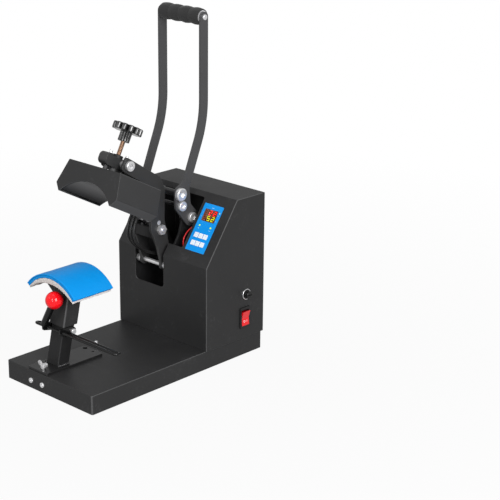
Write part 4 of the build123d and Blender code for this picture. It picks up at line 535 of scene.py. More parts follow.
class PressSoft(bpy.types.PropertyGroup):
    """Sizes of the soft pieces."""
    skin: FloatProperty(name="Pad skin", description="Thickness of the silicone's outer sheet",
                        default=0.0026, unit="LENGTH", min=0.001, max=0.005)
    pad_corner: FloatProperty(name="Pad corner", description="Rounding of the silicone's edges",
                              default=0.0011, unit="LENGTH", min=0.0002, max=0.0013)
    grip_lobes: IntProperty(name="Grip lobes", description="Finger lobes on the foam sleeve",
                            default=4, min=1, max=8)
    grip_groove: FloatProperty(name="Grip groove", description="Depth between two lobes",
                               default=0.0016, unit="LENGTH", min=0, max=0.003)
    lead: FloatProperty(name="Lead", description="Diameter of a heater lead", default=0.005,
                        unit="LENGTH", min=0.002, max=0.006)
    seed: IntProperty(name="Seed", description="Picks the small irregularities", default=7, min=0)


class PressStage(bpy.types.PropertyGroup):
    """Floor, lamps and camera."""
    floor: FloatVectorProperty(name="Floor", description="Colour of the floor",
                               default=(0.32, 0.32, 0.32), **COLOUR)
    key: FloatProperty(name="Key lamp", description="Power of the lamp on the right, in watts",
                       default=53.76, min=0)
    fill: FloatProperty(name="Fill lamp", description="Power of the lamp on the left, in watts",
                        default=4.0, min=0)
    top: FloatProperty(name="Top lamp", description="Power of the lamp overhead, in watts",
                       default=5.5, min=0)
    strip: FloatProperty(name="Strip lamp", description="Power of the lamp seen only in highlights, in watts",
                         default=18.0, min=0)
    sky: FloatProperty(name="Surround", description="Strength of the even light from all round",
                       default=0.6, min=0)
    lens: FloatProperty(name="Lens", description="Focal length on a 36 mm wide sensor, in millimetres",
                        default=104.49, min=20)


# ================================================================ operators
class CAPPRESS_OT_finishes(bpy.types.Operator):
    """Make the finishes and give them to the solids"""
    bl_idname = "cap_press.finishes"
    bl_label = "Finishes"

    WORN_BY = {
        "coat": "base_pan bottom_plate housing_shell rear_panel platen_cover pad_bracket",
        "dark coat": "frame_plate_right frame_plate_left arm_web pad_post pressure_nut",
        "arm coat": "arm_plates yoke_beam",
        "gloss black": "bail_wire clamp_arms clamp_rod",
        "foot grey": "foot_plate",
        "lever grey": "lever_bar_right lever_bar_left",
        "bright": "base_fasteners panel_screws main_pivot_shaft fulcrum_bolts toggle_pin yoke_pivot_bolt "
                  "guide_studs wing_bolt clamp_pivot_bolt grip_tube clamp_spring",
        "shafts": "lever_shafts",
        "dull zinc": "stand_channel frame_tie",
        "link steel": "toggle_links",
        "platen metal": "platen",
        "copper thread": "pressure_screw",
        "knob": "star_knob",
        "fuse body": "fuse_holder",
        "fuse cap": "fuse_cap",
        "black plastic": "rocker_bezel power_inlet power_relay controller_case",
        "film": "overlay",
        "window": "display_window",
        "lamp": "status_leds",
        "keys": "key_1 key_2 key_3 key_4 key_5 key_6",
        "rocker red": "rocker_key",
        "ball red": "clamp_ball",
        "foam": "foam_grip",
        "silicone": "silicone_pad",
        "felt": "pad_core",
        "lead sleeve": "arm_leads housing_leads",
        "red wire": "signal_wire",
    }

    def execute(self, context):
        look = context.scene.press_finish
        GROUPS.update(coat=coat_grain(), drawn=drawn_grain(), handling=handling(), fibres=fibres(),
                      braid=braid())
        for family in (self.paints(look), self.metals(), self.plastics(look), self.lit(), self.prints(),
                       self.soft_goods(look)):
            MATERIALS.update(family)
        for material, names in self.WORN_BY.items():
            for name in names.split():
                dress(name, MATERIALS[material])
        return {"FINISHED"}

    @staticmethod
    def paints(look):
        """Powder coats of the sheet metal, and the paints of the bars, rods, foot plate and welds."""
        baked = {"depth": 0.35, "bump": 0.12}
        # edge paints a lighter highlight along the folds of these coats and of the foot paint
        return {
            "coat": finish("powder coat", tuple(look.coat), look.coat_rough, marks=0.05, specular=0.28,
                           edge=0.0012, **baked),
            "dark coat": finish("dark coat", (0.013, 0.013, 0.0135), 0.46, marks=0.06, specular=0.22,
                                edge=0.001, highlight_gain=1.8, **baked),
            "arm coat": finish("arm coat", (0.030, 0.030, 0.0305), 0.44, marks=0.05, specular=0.35,
                               edge=0.001, highlight_gain=2.5, **baked),
            "gloss black": finish("gloss black paint", (0.004, 0.004, 0.0042), 0.2, depth=0.3, bump=0.05,
                                  specular=0.3, coat=0.12),
            "foot grey": finish("gloss foot paint", (0.012, 0.012, 0.0125), 0.3, depth=0.3, bump=0.05,
                                marks=0.05, specular=0.3, edge=0.0008, highlight_gain=2.0),
            "lever grey": finish("lever paint", tuple(look.lever), 0.42, depth=0.25, bump=0.1, marks=0.05,
                                 specular=0.4),
            "weld": finish("painted weld", (0.02, 0.02, 0.021), 0.3, depth=0.4, bump=0.3, marks=1.0,
                           mark_colour=(0.5, 0.5, 0.5), coat=0.3),
        }

    @staticmethod
    def metals():
        """Plated, drawn and machined metal; the shafts are black between the lever bars."""
        zinc, drawn = (0.78, 0.78, 0.79), {"texture": "drawn"}
        return {
            "bright": finish("bright zinc", zinc, 0.34, metal=0.72, along=(900.0, 900.0, 900.0),
                             depth=0.25, bump=0.08, marks=0.25, mark_colour=(0.3, 0.3, 0.31), **drawn),
            "shafts": finish("blackened shafts", (0.014, 0.014, 0.015), 0.32, along=(60.0, 1400.0, 1400.0),
                             depth=0.4, bump=0.1, marks=0.1,
                             second=(beyond("X", MECH_X, LEVER_INSIDE), zinc, 0.72, 0.32), **drawn),
            "dull zinc": finish("dull zinc", (0.42, 0.42, 0.43), 0.4, metal=1.0, depth=0.5, bump=0.15,
                                marks=0.3),
            "link steel": finish("bright link steel", (0.5, 0.5, 0.51), 0.3, metal=1.0, depth=0.4,
                                 bump=0.1, marks=0.2, **drawn),
            "platen metal": finish("machined platen", (0.105, 0.105, 0.108), 0.34, metal=1.0,
                                   along=(1200.0, 30.0, 1200.0), depth=0.35, bump=0.08, marks=0.2,
                                   mark_colour=(0.03, 0.03, 0.03), **drawn),
            "copper thread": finish("coppered thread", (0.42, 0.25, 0.16), 0.36, metal=1.0,
                                    along=(900.0, 900.0, 500.0), depth=0.6, bump=0.15, marks=0.5,
                                    mark_colour=(0.30, 0.25, 0.20), **drawn),
        }

    @staticmethod
    def plastics(look):
        """Moulded parts, the printed film, the key caps, and the bright metal of the fuse holder and cap."""
        fuse = {"depth": 0.25, "bump": 0.06, "specular": 0.4}
        ring = around(*FUSE_AT, RING_BRIGHT_FROM), (0.7, 0.7, 0.71), 1.0, 0.24
        rim = beyond("X", 0.0, CAP_BRIGHT_FROM), (0.6, 0.6, 0.61), 1.0, 0.26
        return {
            "knob": finish("moulded knob", (0.010, 0.010, 0.0105), 0.2, depth=0.3, bump=0.05, coat=0.9,
                           coat_rough=0.08, scale=900.0),
            "black plastic": finish("moulded black plastic", (0.01, 0.01, 0.0105), 0.34, depth=0.25,
                                    bump=0.1, scale=1100.0, specular=0.35),
            "fuse body": finish("fuse holder", (0.007, 0.007, 0.0072), 0.3, second=ring, **fuse),
            "fuse cap": finish("fuse cap", (0.007, 0.007, 0.0072), 0.26, second=rim, **fuse),
            "film": finish("printed control film", tuple(look.film), 0.36, depth=0.06, bump=0.03,
                           scale=2200.0, specular=0.22),
            "keys": finish("white key caps", (0.84, 0.86, 0.88), 0.34, depth=0.05, bump=0.04),
            "ball red": finish("polished red ball", tuple(look.ball), 0.14, depth=0.03, bump=0.0,
                               scale=500.0, specular=0.3, coat=0.25, coat_rough=0.05),
        }

    @staticmethod
    def lit():
        """Parts with light behind them: the lit digits, the two lamps and the switch; and a painted glow
        on the display window and the unlit digits.
        """
        digit = {"depth": 0.05, "bump": 0.0, "glow_strength": 0.85}
        return {
            # painted glow: the tinted window is made to glow dimly all over, though it is no lamp
            "window": finish("tinted display window", (0.040, 0.010, 0.003), 0.16, depth=0.2, bump=0.0,
                             specular=0.25, coat=0.15, coat_rough=0.04, glow=(0.10, 0.026, 0.007),
                             glow_strength=0.45),
            "lamp": finish("lit lamp lens", (0.45, 0.62, 0.02), 0.2, depth=0.05, bump=0.0,
                           glow=(0.55, 0.75, 0.01), glow_strength=0.7),
            "rocker red": finish("red rocker", (0.70, 0.006, 0.010), 0.16, depth=0.08, bump=0.02,
                                 coat=0.25, coat_rough=0.06, glow=(0.6, 0.0, 0.004), glow_strength=0.12),
            "red digits": finish("lit red digits", (0.8, 0.004, 0.004), 0.3, glow=(1.0, 0.0, 0.0),
                                 **digit),
            "green digits": finish("lit green digits", (0.45, 0.5, 0.0), 0.3, glow=(0.62, 0.60, 0.0),
                                   **digit),
            # painted glow: the unlit digits are made to glow dimly, though they are not lit
            "unlit digits": finish("unlit digits", (0.15, 0.035, 0.012), 0.4, depth=0.1, bump=0.0,
                                   glow=(0.16, 0.03, 0.01), glow_strength=0.5),
        }

    @staticmethod
    def prints():
        """Pale print on the film and the keys, and the marks moulded on the switch."""
        return {
            "pale print": finish("pale print", (0.55, 0.72, 0.9), 0.4, depth=0.1, bump=0.02),
            "switch print": finish("switch print", (0.85, 0.6, 0.62), 0.4, depth=0.1, bump=0.0),
        }

    @staticmethod
    def soft_goods(look):
        """Foam, silicone, felt, and the sleeves of the leads and the wire."""
        return {
            "foam": finish("closed-cell foam", (0.018, 0.018, 0.0182), 0.8, texture="fibres",
                           scale=1300.0, depth=0.5, bump=0.35, specular=0.3, sheen=0.12),
            "silicone": finish("blue silicone", tuple(look.silicone), 0.46, depth=0.06, bump=0.06,
                               scale=900.0, specular=0.14),
            "felt": finish("pressed felt", (0.60, 0.56, 0.54), 0.92, texture="fibres", scale=700.0,
                           depth=0.4, bump=0.6, specular=0.15, sheen=0.2, thick=0.0008),
            "lead sleeve": finish("braided lead sleeve", (0.012, 0.012, 0.012), 0.45, texture="braid",
                                  scale=2600.0, bump=0.5, thick=0.0002),
            "red wire": finish("red wire", (0.5, 0.008, 0.012), 0.35, depth=0.1, bump=0.03),
        }


class CAPPRESS_OT_saddle(bpy.types.Operator):
    """Make the saddle: a silicone skin and backing over a pressed felt core"""
    bl_idname = "cap_press.saddle"
    bl_label = "Saddle"

    def execute(self, context):
        soft = context.scene.press_soft
        outer, inner, half = 0.0795, 0.0725, math.radians(50)
        split, seam, less, less_angle = outer - soft.skin, 0.0001, 0.0004, 0.004
        skin = rounded_slab(split, outer, PAD_AXIS_Z, half, soft.pad_corner, PAD_FRONT, PAD_LENGTH)
        back = rounded_slab(inner, split - seam, PAD_AXIS_Z, half - less_angle, soft.pad_corner,
                            PAD_FRONT + less, PAD_LENGTH - 2 * less)
        points, faces = joined([skin, back])
        points = ripple(points, size=0.03, depth=0.0004, seed=soft.seed)
        pad = piece("saddle_silicone", points, faces, "frame", "silicone", sharp=50)
        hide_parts("silicone_pad")
        core = self.core(soft.seed)
        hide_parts("pad_core")
        return {"FINISHED"}

    @staticmethod
    def core(seed):
        """Felt between the pad's inner arc and a flatter arc below it.  Across the saddle the section runs
        from one arc to the other and back; along it the ends are drawn in by the edge's rounding."""
        top_r, low_r, drop, edge = 0.0723, 0.0868, 0.0233, 0.0012
        half_angle = math.radians(49.6)
        half_x = top_r * math.sin(half_angle)
        t = np.linspace(-1, 1, 72)

        def ring(inset):
            x = t * (half_x - inset)
            top = np.sqrt(top_r ** 2 - x ** 2) - inset
            low = np.sqrt(low_r ** 2 - x ** 2) - drop + inset
            low = np.minimum(low, top)
            return np.concatenate([np.column_stack([x, top]), np.column_stack([x, low])[::-1]])

        insets, along = drawn_in(0.0045, edge, PAD_LENGTH, gap=0.0003, bends=5, straights=24)
        rings = np.stack([ring(i) for i in insets])
        y = np.broadcast_to((PAD_FRONT + along)[:, None], rings.shape[:2])
        points = np.stack([MECH_X + rings[..., 0], y, PAD_AXIS_Z + rings[..., 1]], axis=-1)
        points = ripple(points.reshape(-1, 3), size=0.006, depth=0.0007, seed=seed + 1)
        faces = grid_faces(*y.shape, close_columns=True)
        return piece("saddle_felt", points, faces, "frame", "felt", sharp=60)


class CAPPRESS_OT_grip(bpy.types.Operator):
    """Make the foam sleeve of the lever's grip"""
    bl_idname = "cap_press.grip"
    bl_label = "Foam grip"

    def execute(self, context):
        """The radius is the full one less groove * (1 - |sin| ** 0.8) between the lobes, rounded off by
        a quarter circle at each end, and turned about the grip's axis with an open bore."""
        soft = context.scene.press_soft
        half, radius, bore, lip, shrink = 0.0474, 0.015, 0.0111, 0.0016, 0.0005
        x = np.linspace(-half, half, 241)
        lobe = np.abs(np.sin(np.pi * soft.grip_lobes * (x + half) / (2 * half)))
        edge = np.clip((half - np.abs(x)) / lip, 0, 1)
        r = radius - soft.grip_groove * (1 - lobe ** 0.8)
        r = r - shrink - lip * (1 - np.sqrt(1 - (1 - edge) ** 2))
        radius_all = np.concatenate([[bore], r, [bore], [bore]])
        height = np.concatenate([[-half], x, [half], [-half]])
        points, faces = turned_profile(radius_all, height, 96, GRIP_CENTRE, RIGHT, (0, 1, 0))
        points = ripple(points, size=0.02, depth=0.0006, seed=soft.seed + 2)
        foam = piece("grip_foam", points, faces, "lever", "foam", sharp=60)
        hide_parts("foam_grip")
        return {"FINISHED"}


class CAPPRESS_OT_pressure_screw(bpy.types.Operator):
    """Make the threaded pressure screw and its fluted knob"""
    bl_idname = "cap_press.pressure_screw"
    bl_label = "Pressure screw and knob"

    def execute(self, context):
        low, high, step, pitch, rod_radius = -0.0517, 0.0245, 0.00025, 0.002, 0.004
        flange, flange_radius, ease = 0.003, 0.007, 0.0004
        h = np.arange(low, high, step)

        def thread(height, angle):
            """Ridge of one start along height / pitch - angle / turn: 1 at the crest, 0.86 at the root."""
            phase = np.mod(height / pitch - angle / (2 * np.pi), 1.0)
            return 1 - 0.14 * (1 - np.abs(2 * phase - 1)) ** 1.2

        rod = turned_profile(np.concatenate([[0.0], np.full(len(h), rod_radius), [0.0]]),
                             np.concatenate([[low], h, [h[-1]]]), 40, KNOB_ORIGIN, KNOB_UP, RIGHT, thread)
        rounded = [(0.0, low), (flange_radius - ease, low), (flange_radius, low - ease),
                   (flange_radius, low - flange + ease), (flange_radius - ease, low - flange),
                   (0.0, low - flange)]
        collar = turned_profile(*zip(*rounded), 48, KNOB_ORIGIN, KNOB_UP, RIGHT)
        points, faces = joined([rod, collar])
        screw = piece("pressure_thread", points, faces, "knob", "copper thread", sharp=70)
        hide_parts("pressure_screw")
        self.knob()
        return {"FINISHED"}

    @staticmethod
    def knob():
        """Disc with twelve round flutes and a ribbed hub: radius(h, a) = profile(h) * (1 - cut(h) *
        (1 - |cos(6 a)|) ** 1.5), the cut fading to nothing at the centre."""
        disc_low, disc_high, hub_low, r_disc, r_hub = 0.0230, 0.0350, 0.0060, 0.0266, 0.0104
        low_ease, high_ease = 0.0016, 0.0022
        bend = np.linspace(0, np.pi / 2, 6)
        rows = [(0.0041, hub_low, 0), (0.0092, hub_low, 0.1), (r_hub, hub_low + 0.0008, 0.16),
                (r_hub, disc_low - 0.0012, 0.16), (r_hub + 0.0006, disc_low - 0.0002, 0.12),
                (r_hub + 0.002, disc_low, 0.1), (r_disc - 0.004, disc_low, 0.24)]
        rows += [(r_disc - low_ease * (1 - math.sin(b)), disc_low + low_ease * (1 - math.cos(b)), 0.30)
                 for b in bend]
        rows += [(r_disc - high_ease * (1 - math.cos(b)), disc_high - high_ease * (1 - math.sin(b)), 0.30)
                 for b in bend]
        rows += [(r_disc - 0.006, disc_high - 0.0001, 0.2), (0.012, disc_high - 0.0008, 0.05),
                 (0.0085, disc_high - 0.0012, 0), (0.0078, disc_high - 0.0004, 0),
                 (0.004, disc_high, 0), (0.0, disc_high, 0)]
        r, h, cut = (np.array(v) for v in zip(*rows))
        a = np.linspace(0, 2 * np.pi, 288, endpoint=False)
        flute = (1 - np.abs(np.cos(6 * a))) ** 1.5
        radius = r[:, None] * (1 - cut[:, None] * flute[None, :])
        ring = np.cos(a)[None, :, None] * RIGHT + np.sin(a)[None, :, None] * np.cross(KNOB_UP, RIGHT)
        points = KNOB_ORIGIN + KNOB_UP * h[:, None, None] + ring * radius[..., None]
        faces = grid_faces(len(r), len(a), close_columns=True)
        knob = piece("hand_knob", points.reshape(-1, 3), faces, "knob", "knob", sharp=42,
                     outward=False)
        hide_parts("star_knob")


class CAPPRESS_OT_leads(bpy.types.Operator):
    """Make the heater leads from the cover down into the housing, and the red wire by the controller"""
    bl_idname = "cap_press.leads"
    bl_label = "Leads"

    COVER_TO_ARM = (0.0216, 0.3010), (0.0331, 0.2949), (0.0398, 0.2817), (0.0350, 0.2620), (0.0220, 0.2430)
    ARM_TO_HOUSING = ((0.0175, 0.2220), (0.0285, 0.2015), (0.0532, 0.18355), (0.0720, 0.1765),
                      (0.0900, 0.16975), (0.1030, 0.1520), (0.1060, 0.1240), (0.1080, 0.0980),
                      (0.1120, 0.0840))

    def execute(self, context):
        soft = context.scene.press_soft
        route = np.array(self.COVER_TO_ARM + self.ARM_TO_HOUSING)
        middle, spacing = MECH_X - 0.004, 0.008
        split_height, arm_back = 0.232, 0.04
        halves = {"leads_at_cover": [], "leads_at_housing": []}
        for n in range(3):
            x = middle + (n - 1) * spacing
            path = smooth_route(np.column_stack([np.full(len(route), x), route]))
            cut = int(np.argmin(np.abs(path[:, 2] - split_height) + 10 * (path[:, 1] > arm_back)))
            for tubes, part in zip(halves.values(), (path[:cut + 1], path[cut:])):
                tubes.append(swept(part, soft.lead / 2, 20, RIGHT))
        for name, tubes in halves.items():
            points, faces = joined(tubes)
            uv = np.concatenate([surface_map for _, _, surface_map in tubes])
            made = piece(name, points, faces, None, "lead sleeve", uv=uv, merge=0)
            if name == "leads_at_cover":
                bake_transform(made)
                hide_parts("arm_leads")
            else:
                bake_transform(made)
                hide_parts("housing_leads")
        self.wire()
        return {"FINISHED"}

    @staticmethod
    def wire():
        """Thin wire in a bow over the hatch's corner, thickened by a crimped joint: radius = wire +
        crimp * exp(-((share - place) / spread) ** 2).  Its spots are to the right and up the slope."""
        spots = np.array([(0, 4), (-6, 12), (-7, 24), (-3, 35), (3, 43)]) / 1000
        start_x, start_up, depth = MECH_X + 0.0674, 0.0234, 0.0028
        wire, crimp, place, spread = 0.0010, 0.0004, 0.3, 0.035
        route = SLOPE_FOOT + RIGHT * (start_x + spots[:, :1]) + SLOPE_UP * (start_up + spots[:, 1:])
        path = smooth_route(route - SLOPE_OUT * depth)
        share = np.linspace(0, 1, len(path))
        radius = wire + crimp * np.exp(-((share - place) / spread) ** 2)
        points, faces, uv = swept(path, radius, 16, SLOPE_OUT)
        made = piece("controller_wire", points, faces, "frame", "red wire", uv=uv, merge=0)
        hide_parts("signal_wire")


class CAPPRESS_OT_display(bpy.types.Operator):
    """Make the lit and unlit digits, the rings on the keys and the switch's marks"""
    bl_idname = "cap_press.display"
    bl_label = "Display and marks"

    # a bar of a digit: half widths to the right, half heights up, and 1 where it stands
    BARS = {"a": (0, 1, 0), "g": (0, 0, 0), "d": (0, -1, 0), "f": (-1, 0.5, 1), "b": (1, 0.5, 1),
            "e": (-1, -0.5, 1), "c": (1, -0.5, 1)}
    LIT_BARS = {"2": "abged", "5": "afgcd", " ": ""}
    ROWS = (" 22", "red digits"), (" 52", "green digits")
    # a stroke of print: to the right of the film's middle, up the slope, and half its width
    STROKES = ((-0.0130, 0.0645, 0.0018), (0.0130, 0.0645, 0.0018), (0.0175, 0.0830, 0.0009),
               (0.0175, 0.0935, 0.0009), (-0.0179, 0.0935, 0.0008), (-0.0179, 0.0860, 0.0008),
               (0.0, 0.1045, 0.0022))

    def execute(self, context):
        self.digits()
        self.captions()
        self.key_rings()
        self.switch_marks()
        return {"FINISHED"}

    @classmethod
    def digits(cls):
        """Two rows of seven-bar digits, each bar in the set of its colour."""
        half_w, half_h = 0.0027, 0.0038
        sets = {"red digits": [], "green digits": [], "unlit digits": []}
        for (text, colour), up in zip(cls.ROWS, DIGIT_ROWS):
            for sign, column in zip(text, DIGIT_COLUMNS):
                for name, (across, above, upright) in cls.BARS.items():
                    lit = name in cls.LIT_BARS[sign]
                    spot = FILM_X + column + across * half_w, up + above * half_h
                    sets[colour if lit else "unlit digits"].append(cls.bar(*spot, upright, lit))
        for key, parts in sets.items():
            points, faces = joined(parts)
            piece(key.replace(" ", "_"), points, faces, "frame", key, sharp=20)

    @staticmethod
    def bar(x, up, upright, lit):
        """Six-sided bar of a seven-bar digit."""
        long, thin, taller = 0.0024, 0.00062, 1.25
        shape = np.array([(-long, 0), (-long + thin, -thin), (long - thin, -thin), (long, 0),
                          (long - thin, thin), (-long + thin, thin)])
        if upright:
            shape = np.column_stack([-shape[:, 1], shape[:, 0] * taller])
        return on_slope(shape, 0.00012, x, up, LIT_FACE if lit else UNLIT_FACE)

    @classmethod
    def captions(cls):
        """Short pale strokes beside the lamps and the display, and a lit dot at the display's right."""
        half_h, ink, dot_ink = 0.0003, 0.00006, 0.00008
        dot_radius, dot_x, dot_up = 0.0009, 0.0187, 0.0985
        points, faces = joined([on_slope(rectangle(half_w, half_h), ink, FILM_X + x, up, FILM_FACE)
                                for x, up, half_w in cls.STROKES])
        piece("film_captions", points, faces, "frame", "pale print", sharp=20, merge=0)
        points, faces = on_slope(circle(dot_radius, 24), dot_ink, FILM_X + dot_x, dot_up, FILM_FACE)
        piece("lit_dot", points, faces, "frame", "green digits", sharp=20, merge=0)

    @staticmethod
    def key_rings():
        """A pale printed square frame on each key, made of four thin bars, riding on its own key."""
        half, wide, ink = 0.0019, 0.0003, 0.00006
        bars = ((0, half, half + wide, wide), (0, -half, half + wide, wide), (half, 0, wide, half),
                (-half, 0, wide, half))
        for n in range(6):
            row, column = divmod(n, 3)
            x = FILM_X + (column - 1) * KEY_PITCH
            up = FILM_LOW + KEY_ROW_LOW + KEY_HALF + row * KEY_ROW_PITCH
            points, faces = joined([on_slope(rectangle(w, h), ink, x + across, up + above, KEY_FACE)
                                    for across, above, w, h in bars])
            piece(f"key_ring_{n + 1}", points, faces, f"key_{n + 1}", "pale print", sharp=20,
                  merge=0)

    @staticmethod
    def switch_marks():
        """A bar and a ring moulded on the rocker's lower face, which is tilted from upright."""
        tilt, lift, raised = math.radians(6), 0.00002, 0.00012
        bar_at, ring_at, ring_inner, ring_outer, around_ring = 0.0032, 0.0028, 0.0014, 0.0022, 40

        def face_point(x, z):
            return ROCKER_AXIS + np.array([x * math.cos(tilt) + z * math.sin(tilt), 0,
                                           z * math.cos(tilt) - x * math.sin(tilt)])

        high, low = face_point(0.0064, 0.0), face_point(0.0090, -0.0135)
        up = unit(high - low)
        right = np.array([0.0, 1.0, 0.0])
        out = np.cross(right, up)
        middle = low * 0.45 + high * 0.55 + out * lift
        bar = flat_shape(rectangle(0.0005, 0.002), raised, middle + right * bar_at, right, up)
        loop = np.stack([circle(r, around_ring) for r in (ring_inner, ring_outer)])
        base = middle - right * ring_at + loop[..., :1] * right + loop[..., 1:] * up
        rings = np.stack([base[0], base[0] + out * raised, base[1] + out * raised, base[1]])
        ring = rings.reshape(-1, 3), grid_faces(4, around_ring, close_rows=True, close_columns=True)
        points, faces = joined([bar, ring])
        piece("switch_marks", points, faces, "rocker", "switch print", sharp=30, merge=0)


class CAPPRESS_OT_hardware(bpy.types.Operator):
    """Make the clamp's coiled spring and the weld beads at the post's foot"""
    bl_idname = "cap_press.hardware"
    bl_label = "Spring and welds"

    def execute(self, context):
        self.spring()
        self.welds()
        return {"FINISHED"}

    @staticmethod
    def spring():
        """Helix about the clamp's pivot: with the share t of its length, the angle falls by `turns` turns
        and x = start - pitch * turns * t.  Each end is led off straight, to a point above the bail's
        height and to one below it."""
        radius, wire, turns, pitch, first = 0.0055, 0.0007, 3.5, 0.0011868, math.radians(82)
        above, below = (-0.156, 0.1030), (-0.150, 0.0906)
        t = np.linspace(0, 1, 220)
        a = first - 2 * math.pi * turns * t
        x = MECH_X - 0.0232 - pitch * turns * t
        coil = np.column_stack([x, CLAMP_PIVOT[1] + radius * np.cos(a), CLAMP_PIVOT[2] + radius * np.sin(a)])
        start, end = np.array([x[0], *above]), np.array([x[-1], *below])
        share = np.linspace(0, 1, 12)[:, None]
        lead_in, lead_out = start + (coil[0] - start) * share, coil[-1] + (end - coil[-1]) * share
        path = np.concatenate([lead_in[:-1], coil, lead_out[1:]])
        points, faces, uv = swept(path, wire, 12, RIGHT)
        made = piece("clamp_coil", points, faces, "clamp", "bright", uv=uv, merge=0)
        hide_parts("clamp_spring")

    @staticmethod
    def welds():
        """A straight bead along each side of the post's foot, of radius bead * (0.94 + 0.13 *
        |sin(pi s / step)|)."""
        bead, step, out, height = 0.0023, 0.0017, 0.0158, 0.0371
        y = np.linspace(-0.1668, -0.1432, 90)
        r = bead * (0.94 + 0.13 * np.abs(np.sin(np.pi * (y - y[0]) / step)))
        parts = []
        for side in (-1, 1):
            path = np.column_stack([np.full_like(y, MECH_X + side * out), y, np.full_like(y, height)])
            parts.append(swept(path, r, 20, (0, 0, 1)))
        points, faces = joined(parts)
        piece("post_welds", points, faces, "frame", "weld", sharp=60, merge=0)


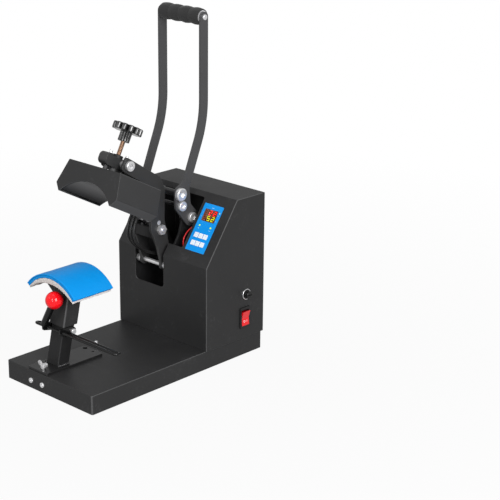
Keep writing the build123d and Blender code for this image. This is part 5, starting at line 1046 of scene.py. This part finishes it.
class CAPPRESS_OT_stage(bpy.types.Operator):
    """Make the floor, the lamps, the surround and the camera"""
    bl_idname = "cap_press.stage"
    bl_label = "Stage"

    CAMERA_AT = 1.7329, -1.5857, 1.0077
    AZIMUTH, ELEVATION, ROLL = 42.81, 18.84, 0.66    # degrees
    SENSOR = 36.0    # millimetres

    def execute(self, context):
        scene, look = context.scene, context.scene.press_stage
        scene.view_settings.view_transform = "Standard"
        self.floor(tuple(look.floor))
        self.surround(scene, look.sky)
        self.lamp("key lamp", (2.35, -0.75, 1.25), look.key, aim_height=0.2, size=1.3)
        self.lamp("fill lamp", (-1.3, -2.0, 1.5), look.fill, aim_height=0.2, size=1.2, shine=0.0)
        self.lamp("top lamp", (-0.2, 0.0, 2.6), look.top, aim_height=0.1, size=1.4, shine=0.3)
        self.lamp("strip lamp", (0.9, -2.2, 1.0), look.strip, aim_height=0.3, size=0.35, tall=1.8,
                  light=0.0)
        scene.camera = self.camera(look.lens)
        return {"FINISHED"}

    @staticmethod
    def placed(name, data, right, up, out, place):
        """An object at a place, with its own X, Y and Z along three directions."""
        thing = bpy.data.objects.new(name, data)
        thing.matrix_world = Matrix([*zip(right, up, out, place), (0, 0, 0, 1)])
        bpy.context.scene.collection.objects.link(thing)
        return thing

    @classmethod
    def camera(cls, lens):
        data = bpy.data.cameras.new("camera")
        data.sensor_width, data.lens = cls.SENSOR, lens
        data.clip_start, data.clip_end = 0.05, 30
        az, el, roll = (math.radians(angle) for angle in (cls.AZIMUTH, cls.ELEVATION, cls.ROLL))
        back = np.array([math.sin(az) * math.cos(el), -math.cos(az) * math.cos(el), math.sin(el)])
        right = unit(np.cross(-back, [0, 0, 1.0]))
        up = np.cross(right, -back)
        turned = math.cos(roll) * right + math.sin(roll) * up, math.cos(roll) * up - math.sin(roll) * right
        return cls.placed("camera", data, *turned, back, cls.CAMERA_AT)

    @staticmethod
    def floor(colour):
        """A plane just under the base, which looks whiter further from the press."""
        side, below = 6.0, -0.0004
        near, far, near_white, glossy_white = 0.3, 1.5, 0.94, 0.35
        mesh = bpy.data.meshes.new("floor")
        corners = [(x * side, y * side, below) for x, y in ((-1, -1), (1, -1), (1, 1), (-1, 1))]
        mesh.from_pydata(corners, [], [(0, 1, 2, 3)])
        thing = bpy.data.objects.new("floor", mesh)
        bpy.context.scene.collection.objects.link(thing)
        made = bpy.data.materials.new("pale floor")
        made.use_nodes = True
        tree = made.node_tree
        tree.nodes.clear()
        ray = node(tree, "ShaderNodeLightPath").outputs
        plain = node(tree, "ShaderNodeBsdfDiffuse", Color=(*colour, 1))
        white = node(tree, "ShaderNodeEmission", Color=(1, 1, 1, 1), Strength=1.0)
        distance = node(tree, "ShaderNodeVectorMath", {"operation": "LENGTH"})
        feed(tree, distance.inputs[0], node(tree, "ShaderNodeTexCoord").outputs["Object"])
        clear = ramp(tree, distance.outputs["Value"], low=near, high=far, first=near_white)
        seen = maths(tree, "MAXIMUM", maths(tree, "MULTIPLY", ray["Is Camera Ray"], clear),
                     maths(tree, "MULTIPLY", ray["Is Glossy Ray"], glossy_white))
        mixed = node(tree, "ShaderNodeMixShader")
        for socket, value in zip(mixed.inputs, (seen, plain.outputs[0], white.outputs[0])):
            feed(tree, socket, value)
        node(tree, "ShaderNodeOutputMaterial", Surface=mixed.outputs[0])
        mesh.materials.append(made)

    @staticmethod
    def surround(scene, strength):
        """Even light from all round, and plain white behind the press."""
        world = bpy.data.worlds.new("surround")
        scene.world = world
        world.use_nodes = True
        tree = world.node_tree
        tree.nodes.clear()
        level = ramp(tree, node(tree, "ShaderNodeLightPath").outputs["Is Camera Ray"], first=strength)
        light = node(tree, "ShaderNodeBackground", Color=(1, 1, 1, 1), Strength=level)
        node(tree, "ShaderNodeOutputWorld", Surface=light.outputs[0])

    @classmethod
    def lamp(cls, name, place, power, aim_height, size, shine=1.0, light=1.0, tall=None):
        """A round lamp aimed at a height above the middle, or a strip if `tall` is given; `shine` and
        `light` scale what it adds to highlights and to plain shading."""
        data = bpy.data.lights.new(name, "AREA")
        data.shape, data.size, data.energy = "DISK", size, power
        data.specular_factor, data.diffuse_factor = shine, light
        if tall:
            data.shape, data.size_y = "RECTANGLE", tall
        out = unit(np.array(place) - np.array((0, 0, aim_height)))
        right = unit(np.cross([0, 0, 1.0], out))
        cls.placed(name, data, right, np.cross(out, right), out, place)


class CAPPRESS_PT_panel(bpy.types.Panel):
    """Sizes, colours and pieces of the cap press"""
    bl_idname = "CAPPRESS_PT_panel"
    bl_label = "Cap press"
    bl_space_type = "VIEW_3D"
    bl_region_type = "UI"
    bl_category = "Cap press"

    def draw(self, context):
        for title, group in (("Finish", context.scene.press_finish), ("Soft parts", context.scene.press_soft),
                             ("Stage", context.scene.press_stage)):
            column = self.layout.box().column()
            column.label(text=title)
            for key in group.bl_rna.properties.keys():
                if key not in {"rna_type", "name"}:
                    column.prop(group, key)
        for kind in PIECES:
            self.layout.operator(kind.bl_idname)


PIECES = (CAPPRESS_OT_finishes, CAPPRESS_OT_saddle, CAPPRESS_OT_grip, CAPPRESS_OT_pressure_screw,
          CAPPRESS_OT_leads, CAPPRESS_OT_display, CAPPRESS_OT_hardware, CAPPRESS_OT_stage)
SETTINGS = (PressFinish, PressSoft, PressStage)


def register():
    for kind in (*SETTINGS, *PIECES, CAPPRESS_PT_panel):
        bpy.utils.register_class(kind)
    bpy.types.Scene.press_finish = PointerProperty(type=PressFinish)
    bpy.types.Scene.press_soft = PointerProperty(type=PressSoft)
    bpy.types.Scene.press_stage = PointerProperty(type=PressStage)


def unregister():
    for key in ("press_finish", "press_soft", "press_stage"):
        delattr(bpy.types.Scene, key)
    for kind in reversed((*SETTINGS, *PIECES, CAPPRESS_PT_panel)):
        bpy.utils.unregister_class(kind)


def main():
    register()
    for kind in PIECES:
        family, name = kind.bl_idname.split(".")
        getattr(getattr(bpy.ops, family), name)()


if __name__ == "__main__":
    main()
